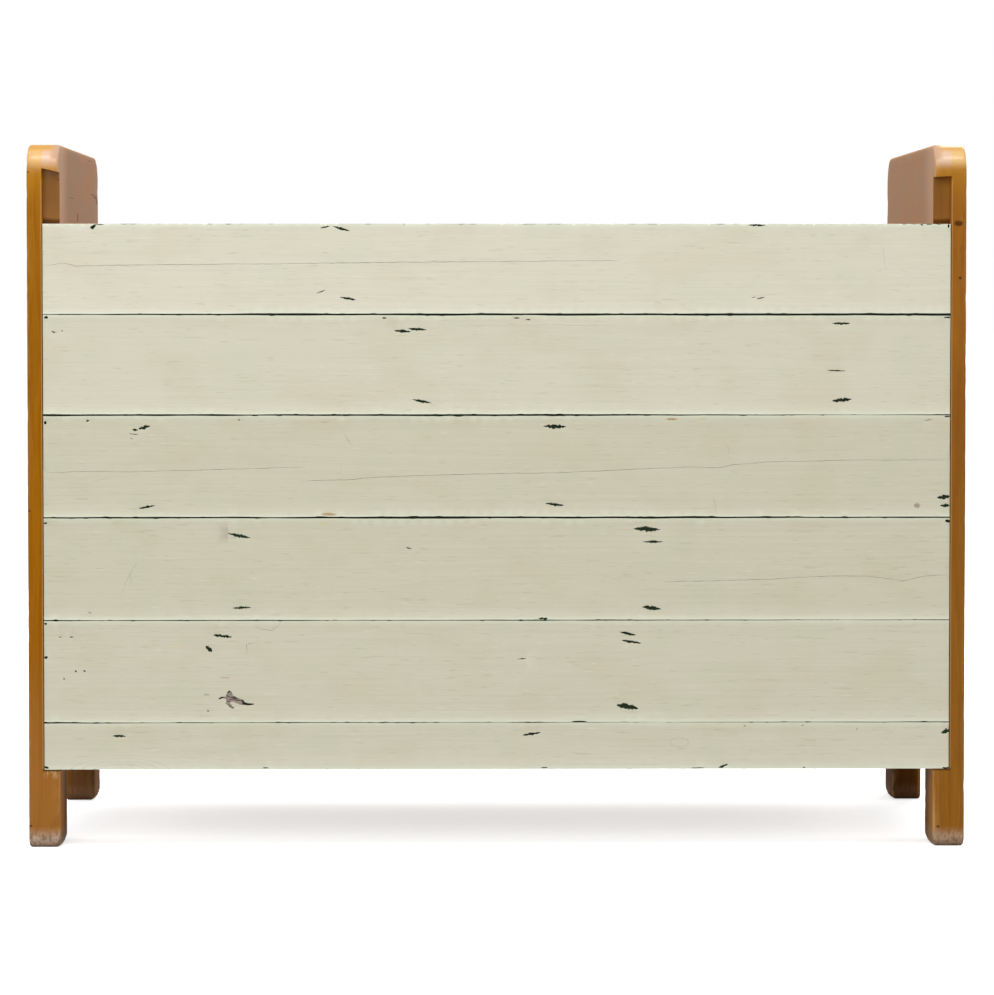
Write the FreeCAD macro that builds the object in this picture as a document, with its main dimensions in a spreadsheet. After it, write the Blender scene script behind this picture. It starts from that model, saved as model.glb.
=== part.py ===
import FreeCAD, Part
import os
import re
import Sketcher

# A small Swedish pull-out bench bed in pine, in millimetres.
# The origin is on the floor under the middle of the bench. +Z is up, +X is the sitter's left
# and -Y is the front, the way that the bed pulls out. It is drawn closed.

os.makedirs("parts", exist_ok=True)
doc = FreeCAD.newDocument("PullOutBenchBed")

# Driving sizes
SIZES = {
    # the bench as a whole
    "bench_width": 1100,
    "bench_depth": 500,
    "bench_height": 826,
    "seat_height": 428,
    "base_height": 215,
    # the two ends
    "end_thickness": 37,
    "lip_thickness": 17.6,
    "corner_radius": 35,
    "foot_depth": 80,
    "foot_radius": 13,
    "arch_height": 98,
    "arch_radius": 18,
    "arris_radius": 3.5,
    # tongued and grooved boards, and all other joinery
    "board_thickness": 20,
    "board_gap": 1,
    "board_end_gap": 1,
    "tongue_length": 7,
    "tongue_thickness": 6,
    "tongue_play": 0.3,
    "board_ease": 1.2,
    "bar_ease": 1.5,
    "panel_bottom": 92.5,
    "panel_top_drop": 92.3,
    # the fixed rails inside
    "runner_width": 40,
    "runner_height": 28,
    "rail_width": 28,
    "rail_height": 28,
    "cleat_width": 24,
    "cleat_height": 24,
    "strip_width": 50,
    "rail_gap": 6,
    # the two combs of slats
    "slat_thickness": 18,
    "slat_gap": 6,
    "slat_edge_gap": 16,
    "slat_end_gap": 2,
    # the pull-out
    "front_recess": 34,
    "front_thickness": 22,
    "front_bottom": 95,
    "front_play": 3,
    "seat_play": 1,
    "pull_side_thickness": 18,
    "side_play": 2,
    "kicker_play": 2,
    "pull_side_radius": 24,
    "ledger_width": 30,
    "batten_play": 2,
    "batten_lift": 3,
    "cleat_front_gap": 8,
    # the seat lid
    "lid_thickness": 20,
    "lid_play": 2,
    "lid_recess": 10,
    "lid_nose": 7,
    "lid_batten_width": 60,
    "lid_batten_thickness": 20,
    "lid_batten_front_gap": 10,
    "lid_batten_rear_gap": 26,
    # the butt hinges of the lid
    "hinge_length": 60,
    "leaf_thickness": 1.85,
    "leaf_height": 17,
    "leaf_gap": 0.3,
    "knuckle_radius": 4,
    "pin_radius": 2,
    "pin_clearance": 0.08,
    # the folding legs and their bolts
    "leg_width": 44,
    "leg_thickness": 24,
    "leg_inset": 65,
    "leg_clearance": 2,
    "floor_clearance": 2,
    "leg_foot_ease": 5,
    "bolt_radius": 4,
    "bolt_head_radius": 9,
    "bolt_head_height": 4,
    "bolt_end": 2,
    "washer_radius": 11,
    "washer_thickness": 2,
    "nut_radius": 8,
    "nut_height": 6.5,
    # the turned knobs
    "knob_length": 26,
    "knob_radius": 17,
    "knob_head_half": 8,
    "knob_neck_radius": 8,
    "knob_collar_radius": 12,
    "knob_collar_height": 4,
}

# Heights of the six back boards, from the lowest up, as shares of the panel
BACK_BOARD_SHARES = (0.0846, 0.1878, 0.1878, 0.1878, 0.1844, 0.1676)
# Heights of the three front boards and depths of the four lid boards, as shares
FRONT_BOARD_SHARES = (1 / 3, 1 / 3, 1 / 3)
LID_BOARD_SHARES = (1 / 4, 1 / 4, 1 / 4, 1 / 4)
# Where hinges, lid battens and knobs stand, as shares of the half width between the ends
HINGE_SHARE = 0.62
LID_BATTEN_SHARE = 0.5
KNOB_SHARE = 0.46
KNOB_HEIGHT_SHARE = 0.62
SLAT_COUNT = 15
# How far two edges may stand apart and count as one, as a share of the bench's width
SAME_PLACE_SHARE = 0.00001
# How nearly an edge must point along an axis to count as lying along it
ALONG_SHARE = 0.9

sheet = doc.addObject("Spreadsheet::Sheet", "Sizes")
for row, (alias, value) in enumerate(SIZES.items(), start=1):
    sheet.set(f"A{row}", alias)
    sheet.set(f"B{row}", str(value))
    sheet.setAlias(f"B{row}", alias)
doc.recompute()

# Planes and lengths that several pieces share, as formulas on the sheet
INNER = "(bench_width / 2 - end_thickness)"
BACK_INNER = "(bench_depth / 2 - board_thickness)"
FRONT_OUTER = "(front_recess - bench_depth / 2)"
FRONT_INNER = "(front_recess + front_thickness - bench_depth / 2)"
PANEL_HEIGHT = "(bench_height - panel_top_drop - panel_bottom)"
SEAT_UNDER = "(seat_height - lid_thickness)"
RAIL_FRONT = f"({FRONT_INNER} + ledger_width + rail_gap)"
RAIL_BOTTOM = "(base_height - rail_height)"
PULL_SIDE_INNER = f"({INNER} - side_play - pull_side_thickness)"
PULL_REAR = f"({BACK_INNER} - rail_width - batten_play)"
SLAT_WIDTH = (
    f"((2 * {PULL_SIDE_INNER} - 2 * slat_edge_gap - {SLAT_COUNT - 1} * slat_gap)"
    f" / {SLAT_COUNT})"
)
HINGE_GAP = "(2 * leaf_thickness + leaf_gap)"
HINGE_Y = f"({BACK_INNER} - strip_width - {HINGE_GAP} / 2)"
HINGE_Z = "(seat_height + knuckle_radius)"
LID_FRONT = "(lid_recess - bench_depth / 2)"
LID_REAR = f"({HINGE_Y} - {HINGE_GAP} / 2)"
PIVOT_X = f"({INNER} - leg_inset)"
PIVOT_Z = f"({RAIL_BOTTOM} - leg_clearance - leg_width / 2)"

parts = {}


def cell(text):
    """Writes a formula on bare aliases the way the sheet's cells are called."""
    return re.sub(r"[a-z]\w*", r"Sizes.\g<0>", text)


def number(text):
    """The present value of a formula on the sheet, in millimetres."""
    return float(sheet.evalExpression(cell(text)))


def bind(thing, **formulas):
    """Ties properties of an object to formulas on the sheet."""
    for name, text in formulas.items():
        thing.setExpression(name, cell(text))


def place(thing, x, y, z):
    """Ties the object's place to three formulas on the sheet."""
    for axis, text in zip("xyz", (x, y, z)):
        thing.setExpression("Placement.Base." + axis, cell(text))


def turn(thing, axis, degrees):
    """Turns the object about an axis through its own origin."""
    thing.Placement = FreeCAD.Placement(FreeCAD.Vector(), FreeCAD.Rotation(axis, degrees))


X_AXIS = FreeCAD.Vector(1, 0, 0)
Y_AXIS = FreeCAD.Vector(0, 1, 0)
QUARTER_TURN = 90


def keep(label, thing):
    """Lists the object as a piece of the bench."""
    thing.Label = label
    parts[label] = thing
    return thing


def new_body(label):
    return doc.addObject("PartDesign::Body", label)


def origin_plane(body, role):
    return next(o for o in body.Origin.OriginFeatures if o.Role == role)


def rectangle(body, name, corner, width, height, plane="YZ_Plane"):
    """A rectangle on an origin plane of the body, with its first corner at three formulas."""
    sketch = body.newObject("Sketcher::SketchObject", name)
    sketch.AttachmentSupport = [(origin_plane(body, plane), "")]
    sketch.MapMode = "FlatFace"
    for axis, text in zip("xyz", corner):
        sketch.setExpression("AttachmentOffset.Base." + axis, cell(text))
    points = [FreeCAD.Vector(*p, 0) for p in ((0, 0), (1, 0), (1, 1), (0, 1))]
    for side in range(4):
        sketch.addGeometry(Part.LineSegment(points[side], points[(side + 1) % 4]), False)
    for side in range(4):
        sketch.addConstraint(Sketcher.Constraint("Coincident", side, 2, (side + 1) % 4, 1))
    sketch.addConstraint(Sketcher.Constraint("Horizontal", 0))
    sketch.addConstraint(Sketcher.Constraint("Horizontal", 2))
    sketch.addConstraint(Sketcher.Constraint("Vertical", 1))
    sketch.addConstraint(Sketcher.Constraint("Vertical", 3))
    sketch.addConstraint(Sketcher.Constraint("Coincident", 0, 1, -1, 1))
    wide = sketch.addConstraint(Sketcher.Constraint("DistanceX", 0, 1, 0, 2, 1))
    sketch.renameConstraint(wide, "width")
    tall = sketch.addConstraint(Sketcher.Constraint("DistanceY", 1, 1, 1, 2, 1))
    sketch.renameConstraint(tall, "height")
    sketch.setExpression("Constraints.width", cell(width))
    sketch.setExpression("Constraints.height", cell(height))
    return sketch


def pad(body, name, sketch, length):
    feature = body.newObject("PartDesign::Pad", name)
    feature.Profile = sketch
    bind(feature, Length=length)
    doc.recompute()
    return feature


def pocket(body, name, sketch, length):
    """A pocket cut along the sketch's normal, checked to have taken wood away."""
    before = body.Shape.Volume
    feature = body.newObject("PartDesign::Pocket", name)
    feature.Profile = sketch
    feature.Reversed = True
    bind(feature, Length=length)
    doc.recompute()
    if body.Shape.Volume >= before:
        raise RuntimeError(f"{body.Label}: {name} cuts nothing")
    return feature


def edges_where(feature, test):
    """Names of the feature's edges whose middle point and direction pass the test."""
    found = []
    for index, edge in enumerate(feature.Shape.Edges, start=1):
        first, last = edge.ParameterRange
        middle = edge.valueAt((first + last) / 2)
        if test(middle, edge.tangentAt(first)):
            found.append(f"Edge{index}")
    return found


def close(one, other):
    """Whether two places are the same, to a hundredth of a millimetre or so."""
    return abs(one - other) < SAME_PLACE_SHARE * SIZES["bench_width"]


def dress(body, kind, name, size, names):
    """A fillet or a chamfer on the named edges of the body's last feature."""
    if not names:
        raise RuntimeError(f"{body.Label}: {name} finds no edge")
    base = body.Tip
    feature = body.newObject("PartDesign::" + kind, name)
    feature.Base = (base, names)
    bind(feature, **{"Radius" if kind == "Fillet" else "Size": size})
    doc.recompute()
    return feature


def bar(label, corner, length, width, height, ease="bar_ease"):
    """A planed bar or slat, from its lowest corner, with its four long arrises eased."""
    body = new_body(label)
    sketch = rectangle(body, "Section", ("0", "0", "0"), length, width, "XY_Plane")
    pad(body, "Bar", sketch, height)
    box = body.Shape.BoundBox
    spans = (box.XLength, box.YLength, box.ZLength)
    long_axis = spans.index(max(spans))
    names = edges_where(body.Tip, lambda p, d: abs(d[long_axis]) > ALONG_SHARE)
    dress(body, "Chamfer", "EasedArrises", ease, names)
    place(body, *corner)
    return keep(label, body)


def board(label, corner, length, thickness, height, tongue=True, groove=True, flat=False):
    """A board along X, tongued on its upper edge and grooved on its lower one.
    A flat board lies down, with its tongue towards the front and its corner at the rear."""
    body = new_body(label)
    sketch = rectangle(body, "Section", ("0", "0", "0"), thickness, height)
    pad(body, "Board", sketch, length)
    if tongue:
        at = (f"({thickness} - tongue_thickness) / 2", height, "0")
        sketch = rectangle(body, "TongueSection", at, "tongue_thickness", "tongue_length")
        pad(body, "Tongue", sketch, length)
    if groove:
        wide = "(tongue_thickness + 2 * tongue_play)"
        at = (f"({thickness} - {wide}) / 2", "0", "0")
        deep = "tongue_length - board_gap + tongue_play"
        sketch = rectangle(body, "GrooveSection", at, wide, deep)
        pocket(body, "Groove", sketch, length)
    thick, tall = number(thickness), number(height)

    def on_arris(point, direction):
        at_face = close(point.y, 0) or close(point.y, thick)
        at_edge = close(point.z, 0) or close(point.z, tall)
        return at_face and at_edge and abs(direction.x) > ALONG_SHARE

    dress(body, "Chamfer", "EasedArrises", "board_ease", edges_where(body.Tip, on_arris))
    if flat:
        turn(body, X_AXIS, QUARTER_TURN)
    place(body, *corner)
    return keep(label, body)


def mirror(label, source):
    """The same piece on the other side of the bench."""
    other = doc.addObject("Part::Mirroring", label)
    other.Source = source
    other.Normal = X_AXIS
    return keep(label, other)


def pair(name, source):
    """Names a piece as the left one and adds the right one."""
    keep(name + "_left", source)
    mirror(name + "_right", source)


def solid(kind, name, x, y, z, **sizes):
    """A Part primitive with its sizes and place tied to the sheet."""
    primitive = doc.addObject("Part::" + kind, name)
    bind(primitive, **sizes)
    place(primitive, x, y, z)
    return primitive


def round_solid(kind, name, x, y, z, axis, degrees, **sizes):
    """A round primitive, turned from the Z axis first."""
    primitive = doc.addObject("Part::" + kind, name)
    bind(primitive, **sizes)
    turn(primitive, axis, degrees)
    place(primitive, x, y, z)
    return primitive


def fuse(label, *shapes):
    joined = doc.addObject("Part::MultiFuse", label)
    joined.Shapes = list(shapes)
    return joined


def cut(label, base, tool):
    result = doc.addObject("Part::Cut", label)
    result.Base = base
    result.Tool = tool
    return result


def group(label, *shapes):
    """Like fasteners that share one node, as separate solids."""
    compound = doc.addObject("Part::Compound", label)
    compound.Links = list(shapes)
    return keep(label, compound)


# Ends: one thick pine board each, with two feet and a rebate for the back boards
def end_board():
    body = new_body("side_left")
    at = ("-bench_depth / 2", "0", INNER)
    sketch = rectangle(body, "Outline", at, "bench_depth", "bench_height")
    pad(body, "Board", sketch, "end_thickness")
    at = ("foot_depth - bench_depth / 2", "0", INNER)
    sketch = rectangle(body, "ArchSection", at, "bench_depth - 2 * foot_depth", "arch_height")
    pocket(body, "Arch", sketch, "end_thickness")
    top = number("bench_height")
    arch = number("arch_height")
    inner = number(INNER)
    outer = number("bench_width / 2")

    def across(height):
        return lambda p, d: abs(d.x) > ALONG_SHARE and close(p.z, height)

    dress(body, "Fillet", "TopCorners", "corner_radius", edges_where(body.Tip, across(top)))
    dress(body, "Fillet", "ArchCorners", "arch_radius", edges_where(body.Tip, across(arch)))
    dress(body, "Fillet", "FootCorners", "foot_radius", edges_where(body.Tip, across(0)))
    names = edges_where(
        body.Tip, lambda p, d: close(d.x, 0) and (close(p.x, inner) or close(p.x, outer))
    )
    dress(body, "Fillet", "Arrises", "arris_radius", names)
    at = (BACK_INNER, "panel_bottom", INNER)
    tall = "bench_height - corner_radius - panel_bottom"
    sketch = rectangle(body, "RebateSection", at, "board_thickness", tall)
    pocket(body, "Rebate", sketch, "end_thickness - lip_thickness")
    return body


pair("side", end_board())


# Back: six boards lying one on the other in the rebates of the ends
BACK_LENGTH = "(bench_width - 2 * lip_thickness - 2 * board_end_gap)"
below = 0
for index, share in enumerate(BACK_BOARD_SHARES, start=1):
    board(
        f"back_board_{index}",
        (f"-{BACK_LENGTH} / 2", BACK_INNER, f"panel_bottom + {below} * {PANEL_HEIGHT}"),
        BACK_LENGTH,
        "board_thickness",
        f"({share} * {PANEL_HEIGHT} - board_gap)",
        tongue=index < len(BACK_BOARD_SHARES),
        groove=index > 1,
    )
    below = round(below + share, 6)


# Runners: bars along the ends, which the sides of the pull-out slide on
pair(
    "runner",
    bar(
        "runner_left",
        (f"{INNER} - runner_width", f"{RAIL_FRONT} - rail_gap / 2", f"{RAIL_BOTTOM} - runner_height"),
        "runner_width",
        f"{BACK_INNER} - {RAIL_FRONT} + rail_gap / 2",
        "runner_height",
    ),
)

# Seat cleats: they carry the lid and keep the pull-out from tipping
pair(
    "seat_cleat",
    bar(
        "seat_cleat_left",
        (f"{INNER} - cleat_width", f"{FRONT_INNER} + cleat_front_gap", f"{SEAT_UNDER} - cleat_height"),
        "cleat_width",
        f"{BACK_INNER} - {FRONT_INNER} - cleat_front_gap",
        "cleat_height",
    ),
)

# Rails of the fixed comb, and the rail and strip behind the lid
bar(
    "slat_rail_front",
    (f"-{PULL_SIDE_INNER} + side_play", RAIL_FRONT, RAIL_BOTTOM),
    f"2 * ({PULL_SIDE_INNER} - side_play)",
    "rail_width",
    "rail_height",
)
bar(
    "slat_rail_rear",
    (f"-{INNER} + runner_width / 2", f"{BACK_INNER} - rail_width", RAIL_BOTTOM),
    f"2 * {INNER} - runner_width",
    "rail_width",
    "rail_height",
)
bar(
    "seat_rail_rear",
    (f"-{INNER} + cleat_width", f"{BACK_INNER} - cleat_width", f"{SEAT_UNDER} - cleat_height"),
    f"2 * ({INNER} - cleat_width)",
    "cleat_width",
    "cleat_height",
)
bar(
    "seat_strip",
    (f"-{INNER}", f"{BACK_INNER} - strip_width", SEAT_UNDER),
    f"2 * {INNER}",
    "strip_width",
    "lid_thickness",
)

# The two combs: odd slats belong to the pull-out and slide between the fixed even ones
SLAT_PITCH = f"({SLAT_WIDTH} + slat_gap)"
SLAT_FIRST = f"(slat_edge_gap - {PULL_SIDE_INNER})"
for position in range(SLAT_COUNT):
    moves = position % 2 == 0
    number_in_comb = position // 2 + 1
    start = FRONT_INNER if moves else RAIL_FRONT
    stop = PULL_REAR if moves else f"({BACK_INNER} - slat_end_gap)"
    bar(
        f"pull_slat_{number_in_comb}" if moves else f"fixed_slat_{number_in_comb}",
        (f"{SLAT_FIRST} + {position} * {SLAT_PITCH}", start, "base_height"),
        SLAT_WIDTH,
        f"{stop} - {start}",
        "slat_thickness",
    )


# Pull-out: three front boards, two sides, the ledger in front and the stop batten behind
FRONT_LENGTH = f"(2 * ({INNER} - front_play))"
FRONT_HEIGHT = f"({SEAT_UNDER} - seat_play - front_bottom + board_gap)"
below = 0
for index, share in enumerate(FRONT_BOARD_SHARES, start=1):
    board(
        f"front_board_{index}",
        (f"-{FRONT_LENGTH} / 2", FRONT_OUTER, f"front_bottom + {below} * {FRONT_HEIGHT}"),
        FRONT_LENGTH,
        "front_thickness",
        f"({share} * {FRONT_HEIGHT} - board_gap)",
        tongue=index < len(FRONT_BOARD_SHARES),
        groove=index > 1,
    )
    below += share


def bolt_holes(body):
    """Two holes for the leg bolts, bored through the lowest front board."""
    before = body.Shape.Volume
    for sign in "-+":
        hole = body.newObject("PartDesign::SubtractiveCylinder", "BoltHole")
        bind(hole, Radius="bolt_radius + pin_clearance", Height="front_thickness")
        turn(hole, X_AXIS, QUARTER_TURN)
        x = f"{FRONT_LENGTH} / 2 {sign} {PIVOT_X}"
        place(hole, x, "front_thickness", f"{PIVOT_Z} - front_bottom")
        doc.recompute()
    if body.Shape.Volume >= before:
        raise RuntimeError("the bolt holes cut nothing")


bolt_holes(parts["front_board_1"])


def pull_side():
    body = new_body("pull_side_left")
    tall = f"({SEAT_UNDER} - cleat_height - kicker_play - {RAIL_BOTTOM})"
    at = (FRONT_INNER, RAIL_BOTTOM, PULL_SIDE_INNER)
    sketch = rectangle(body, "Outline", at, f"{PULL_REAR} - {FRONT_INNER}", tall)
    pad(body, "Board", sketch, "pull_side_thickness")
    rear = number(PULL_REAR)
    top = number(f"{RAIL_BOTTOM} + {tall}")
    names = edges_where(
        body.Tip, lambda p, d: abs(d.x) > ALONG_SHARE and close(p.y, rear) and close(p.z, top)
    )
    dress(body, "Fillet", "RearCorner", "pull_side_radius", names)
    names = edges_where(body.Tip, lambda p, d: abs(d.y) > ALONG_SHARE and close(p.z, top))
    dress(body, "Chamfer", "EasedArrises", "bar_ease", names)
    return body


pair("pull_side", pull_side())

bar(
    "slat_ledger",
    (f"-{PULL_SIDE_INNER}", FRONT_INNER, RAIL_BOTTOM),
    f"2 * {PULL_SIDE_INNER}",
    "ledger_width",
    "rail_height",
)
bar(
    "stop_batten",
    (f"-{PULL_SIDE_INNER}", f"{PULL_REAR} - rail_width", f"{RAIL_BOTTOM} + batten_lift"),
    f"2 * {PULL_SIDE_INNER}",
    "rail_width",
    "rail_height - batten_lift",
)


# Knobs: turned, with a collar, a waisted neck and a flattened round head
def knob():
    x = f"{KNOB_SHARE} * {INNER}"
    z = f"front_bottom + {KNOB_HEIGHT_SHARE} * {FRONT_HEIGHT}"
    toward_front = dict(axis=X_AXIS, degrees=QUARTER_TURN)
    collar = round_solid(
        "Cylinder",
        "KnobCollar",
        x,
        FRONT_OUTER,
        z,
        **toward_front,
        Radius="knob_collar_radius",
        Height="knob_collar_height",
    )
    neck = round_solid(
        "Cone",
        "KnobNeck",
        x,
        f"{FRONT_OUTER} - knob_collar_height",
        z,
        **toward_front,
        Radius1="knob_collar_radius - knob_collar_height / 2",
        Radius2="knob_neck_radius",
        Height="knob_length - knob_head_half - knob_collar_height",
    )
    head = round_solid(
        "Ellipsoid",
        "KnobHead",
        x,
        f"{FRONT_OUTER} - knob_length + knob_head_half",
        z,
        **toward_front,
        Radius1="knob_head_half",
        Radius2="knob_radius",
        Radius3="knob_radius",
    )
    return fuse("knob_left", collar, neck, head)


pair("knob", knob())


# Legs: each turns on a bolt behind the lowest front board and folds up towards the middle
LEG_REACH = f"({PIVOT_Z} - floor_clearance)"


def leg():
    body = new_body("leg_left")
    at = (f"{PIVOT_X} - {LEG_REACH}", f"{PIVOT_Z} - leg_width / 2", f"-{FRONT_INNER} - leg_thickness")
    sketch = rectangle(body, "Outline", at, LEG_REACH, "leg_width", "XZ_Plane")
    pad(body, "Leg", sketch, "leg_thickness")
    foot = number(f"{PIVOT_X} - {LEG_REACH}")
    names = edges_where(body.Tip, lambda p, d: abs(d.y) > ALONG_SHARE and close(p.x, foot))
    dress(body, "Chamfer", "FootEase", "leg_foot_ease", names)
    head = body.newObject("PartDesign::AdditiveCylinder", "Head")
    bind(head, Radius="leg_width / 2", Height="leg_thickness")
    turn(head, X_AXIS, QUARTER_TURN)
    place(head, PIVOT_X, f"{FRONT_INNER} + leg_thickness", PIVOT_Z)
    doc.recompute()
    hole = body.newObject("PartDesign::SubtractiveCylinder", "BoltHole")
    bind(hole, Radius="bolt_radius + pin_clearance", Height="leg_thickness")
    turn(hole, X_AXIS, QUARTER_TURN)
    place(hole, PIVOT_X, f"{FRONT_INNER} + leg_thickness", PIVOT_Z)
    doc.recompute()
    return body


pair("leg", leg())


def leg_bolt():
    inside = f"{FRONT_INNER} + leg_thickness + washer_thickness + nut_height + bolt_end"
    shank = round_solid(
        "Cylinder",
        "BoltShank",
        PIVOT_X,
        inside,
        PIVOT_Z,
        X_AXIS,
        QUARTER_TURN,
        Radius="bolt_radius",
        Height=f"{inside} - {FRONT_OUTER}",
    )
    head = round_solid(
        "Ellipsoid",
        "BoltHead",
        PIVOT_X,
        FRONT_OUTER,
        PIVOT_Z,
        X_AXIS,
        QUARTER_TURN,
        Radius1="bolt_head_height",
        Radius2="bolt_head_radius",
        Radius3="bolt_head_radius",
    )
    head.Angle1 = 0
    return fuse("leg_bolt_left", shank, head)


pair("leg_bolt", leg_bolt())


def ring(name, kind, inner_face, height, **sizes):
    """A washer or a nut on the bolt, bored to run over its shank."""
    outside = round_solid(
        kind, name + "Body", PIVOT_X, inner_face, PIVOT_Z, X_AXIS, QUARTER_TURN, Height=height, **sizes
    )
    bore = round_solid(
        "Cylinder",
        name + "Bore",
        PIVOT_X,
        inner_face,
        PIVOT_Z,
        X_AXIS,
        QUARTER_TURN,
        Height=height,
        Radius="bolt_radius + pin_clearance",
    )
    made = cut(name, outside, bore)
    other = doc.addObject("Part::Mirroring", name + "Mirror")
    other.Source = made
    other.Normal = X_AXIS
    return made, other


leg_back = f"{FRONT_INNER} + leg_thickness"
group(
    "leg_washers",
    *ring(
        "Washer",
        "Cylinder",
        f"{leg_back} + washer_thickness",
        "washer_thickness",
        Radius="washer_radius",
    ),
)
group(
    "leg_nuts",
    *ring(
        "Nut",
        "Prism",
        f"{leg_back} + washer_thickness + nut_height",
        "nut_height",
        Circumradius="nut_radius",
    ),
)


# Lid: four boards, tongued together, on two battens that are screwed on from below
LID_LENGTH = f"(2 * ({INNER} - lid_play))"
LID_DEPTH = f"({LID_REAR} - {LID_FRONT} + board_gap)"
behind = 0
for index, share in enumerate(LID_BOARD_SHARES, start=1):
    board(
        f"lid_board_{index}",
        (f"-{LID_LENGTH} / 2", f"{LID_REAR} - {behind} * {LID_DEPTH}", SEAT_UNDER),
        LID_LENGTH,
        "lid_thickness",
        f"({share} * {LID_DEPTH} - board_gap)",
        tongue=index < len(LID_BOARD_SHARES),
        groove=index > 1,
        flat=True,
    )
    behind += share

pair(
    "lid_batten",
    bar(
        "lid_batten_left",
        (
            f"{LID_BATTEN_SHARE} * {INNER} - lid_batten_width / 2",
            f"{FRONT_INNER} + lid_batten_front_gap",
            f"{SEAT_UNDER} - lid_batten_thickness",
        ),
        "lid_batten_width",
        f"{LID_REAR} - lid_batten_rear_gap - {FRONT_INNER} - lid_batten_front_gap",
        "lid_batten_thickness",
    ),
)


# Butt hinges: the frame's leaf has the two outer knuckles and the lid's leaf the middle one
KNUCKLE = "(hinge_length / 3)"
HINGE_X = f"({HINGE_SHARE} * {INNER})"


def leaf(name, y, knuckles):
    """One hinge leaf with its knuckles, each a start and a length along the pin."""
    solids = [
        solid(
            "Box",
            name + "Plate",
            f"{HINGE_X} - hinge_length / 2",
            y,
            "seat_height - leaf_gap - leaf_height",
            Length="hinge_length",
            Width="leaf_thickness",
            Height="leaf_height",
        )
    ]
    for start, length in knuckles:
        solids.append(
            solid(
                "Box",
                name + "Web",
                start,
                y,
                "seat_height - leaf_gap - leaf_height",
                Length=length,
                Width="leaf_thickness",
                Height="leaf_height + leaf_gap + knuckle_radius",
            )
        )
        solids.append(
            round_solid(
                "Cylinder",
                name + "Knuckle",
                start,
                HINGE_Y,
                HINGE_Z,
                Y_AXIS,
                QUARTER_TURN,
                Radius="knuckle_radius",
                Height=length,
            )
        )
    bore = round_solid(
        "Cylinder",
        name + "Bore",
        f"{HINGE_X} - hinge_length / 2",
        HINGE_Y,
        HINGE_Z,
        Y_AXIS,
        QUARTER_TURN,
        Radius="pin_radius + pin_clearance",
        Height="hinge_length",
    )
    return cut(name + "_left", fuse(name + "Blank", *solids), bore)


pair(
    "hinge_frame_leaf",
    leaf(
        "hinge_frame_leaf",
        f"{HINGE_Y} + leaf_gap / 2",
        [
            (f"{HINGE_X} - hinge_length / 2", KNUCKLE),
            (f"{HINGE_X} + hinge_length / 2 - {KNUCKLE}", KNUCKLE),
        ],
    ),
)
pair(
    "hinge_lid_leaf",
    leaf(
        "hinge_lid_leaf",
        f"{HINGE_Y} - leaf_gap / 2 - leaf_thickness",
        [(f"{HINGE_X} - {KNUCKLE} / 2 + leaf_gap", f"{KNUCKLE} - 2 * leaf_gap")],
    ),
)
pair(
    "hinge_pin",
    round_solid(
        "Cylinder",
        "hinge_pin_left",
        f"{HINGE_X} - hinge_length / 2",
        HINGE_Y,
        HINGE_Z,
        Y_AXIS,
        QUARTER_TURN,
        Radius="pin_radius",
        Height="hinge_length",
    ),
)

doc.recompute()

# Every object must have built, and every piece must be one sound shape
for thing in doc.Objects:
    if "Invalid" in thing.State or "Error" in thing.State:
        raise RuntimeError(f"{thing.Label} failed: {thing.State}")
for label, thing in parts.items():
    if thing.Shape.isNull() or not thing.Shape.isValid():
        raise RuntimeError(f"{label} has no sound shape")
    thing.Shape.exportStep(f"parts/{label}.step")
print(f"{len(parts)} pieces")
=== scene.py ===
import math
import random

import bmesh
import bpy
import numpy as np
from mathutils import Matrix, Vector, noise
from mathutils.geometry import delaunay_2d_cdt


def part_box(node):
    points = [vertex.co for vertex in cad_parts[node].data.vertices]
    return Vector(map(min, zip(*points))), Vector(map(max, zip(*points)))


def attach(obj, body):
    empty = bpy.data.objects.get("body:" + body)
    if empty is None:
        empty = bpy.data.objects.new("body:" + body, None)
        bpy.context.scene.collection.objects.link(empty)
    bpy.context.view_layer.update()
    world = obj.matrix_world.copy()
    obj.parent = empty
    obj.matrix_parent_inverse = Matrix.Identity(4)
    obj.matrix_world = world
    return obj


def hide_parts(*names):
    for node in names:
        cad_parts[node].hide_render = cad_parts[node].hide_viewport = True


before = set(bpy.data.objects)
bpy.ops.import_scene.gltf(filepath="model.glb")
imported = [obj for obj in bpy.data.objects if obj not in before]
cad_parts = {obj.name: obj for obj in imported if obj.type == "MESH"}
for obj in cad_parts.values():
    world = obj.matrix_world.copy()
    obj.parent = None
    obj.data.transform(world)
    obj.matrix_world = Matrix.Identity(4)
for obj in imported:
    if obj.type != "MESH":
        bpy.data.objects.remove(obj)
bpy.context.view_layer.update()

# Place and light: the bench stands on a pale floor, and is seen from behind and a little above
# its middle, through a long lens. Soft light comes from all round, and most of it from above.
MM = 0.001
scene = bpy.context.scene
scene.view_settings.view_transform = "Standard"


def add(name, data):
    made = bpy.data.objects.new(name, data)
    scene.collection.objects.link(made)
    return made


CAMERA_PLACE = (47.8 * MM, 4712.7 * MM, 649.6 * MM)
CAMERA_TILT, CAMERA_TURN = -1.998, 179.389
lens = bpy.data.cameras.new("camera")
lens.lens, lens.shift_y, lens.clip_end = 137.9, -0.07, 200
camera = add("camera", lens)
camera.location = CAMERA_PLACE
camera.rotation_euler = (math.radians(90 + CAMERA_TILT), 0, math.radians(CAMERA_TURN))
scene.camera = camera


def sum_of(operation, turned=False):
    """A way to reckon with a wire, which stands last where the sum is turned round."""

    def reckon(wire, *others):
        terms = (*others, wire) if turned else (wire, *others)
        return wire.tree.node("Math", {"operation": operation}, dict(enumerate(terms)))

    return reckon


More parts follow.
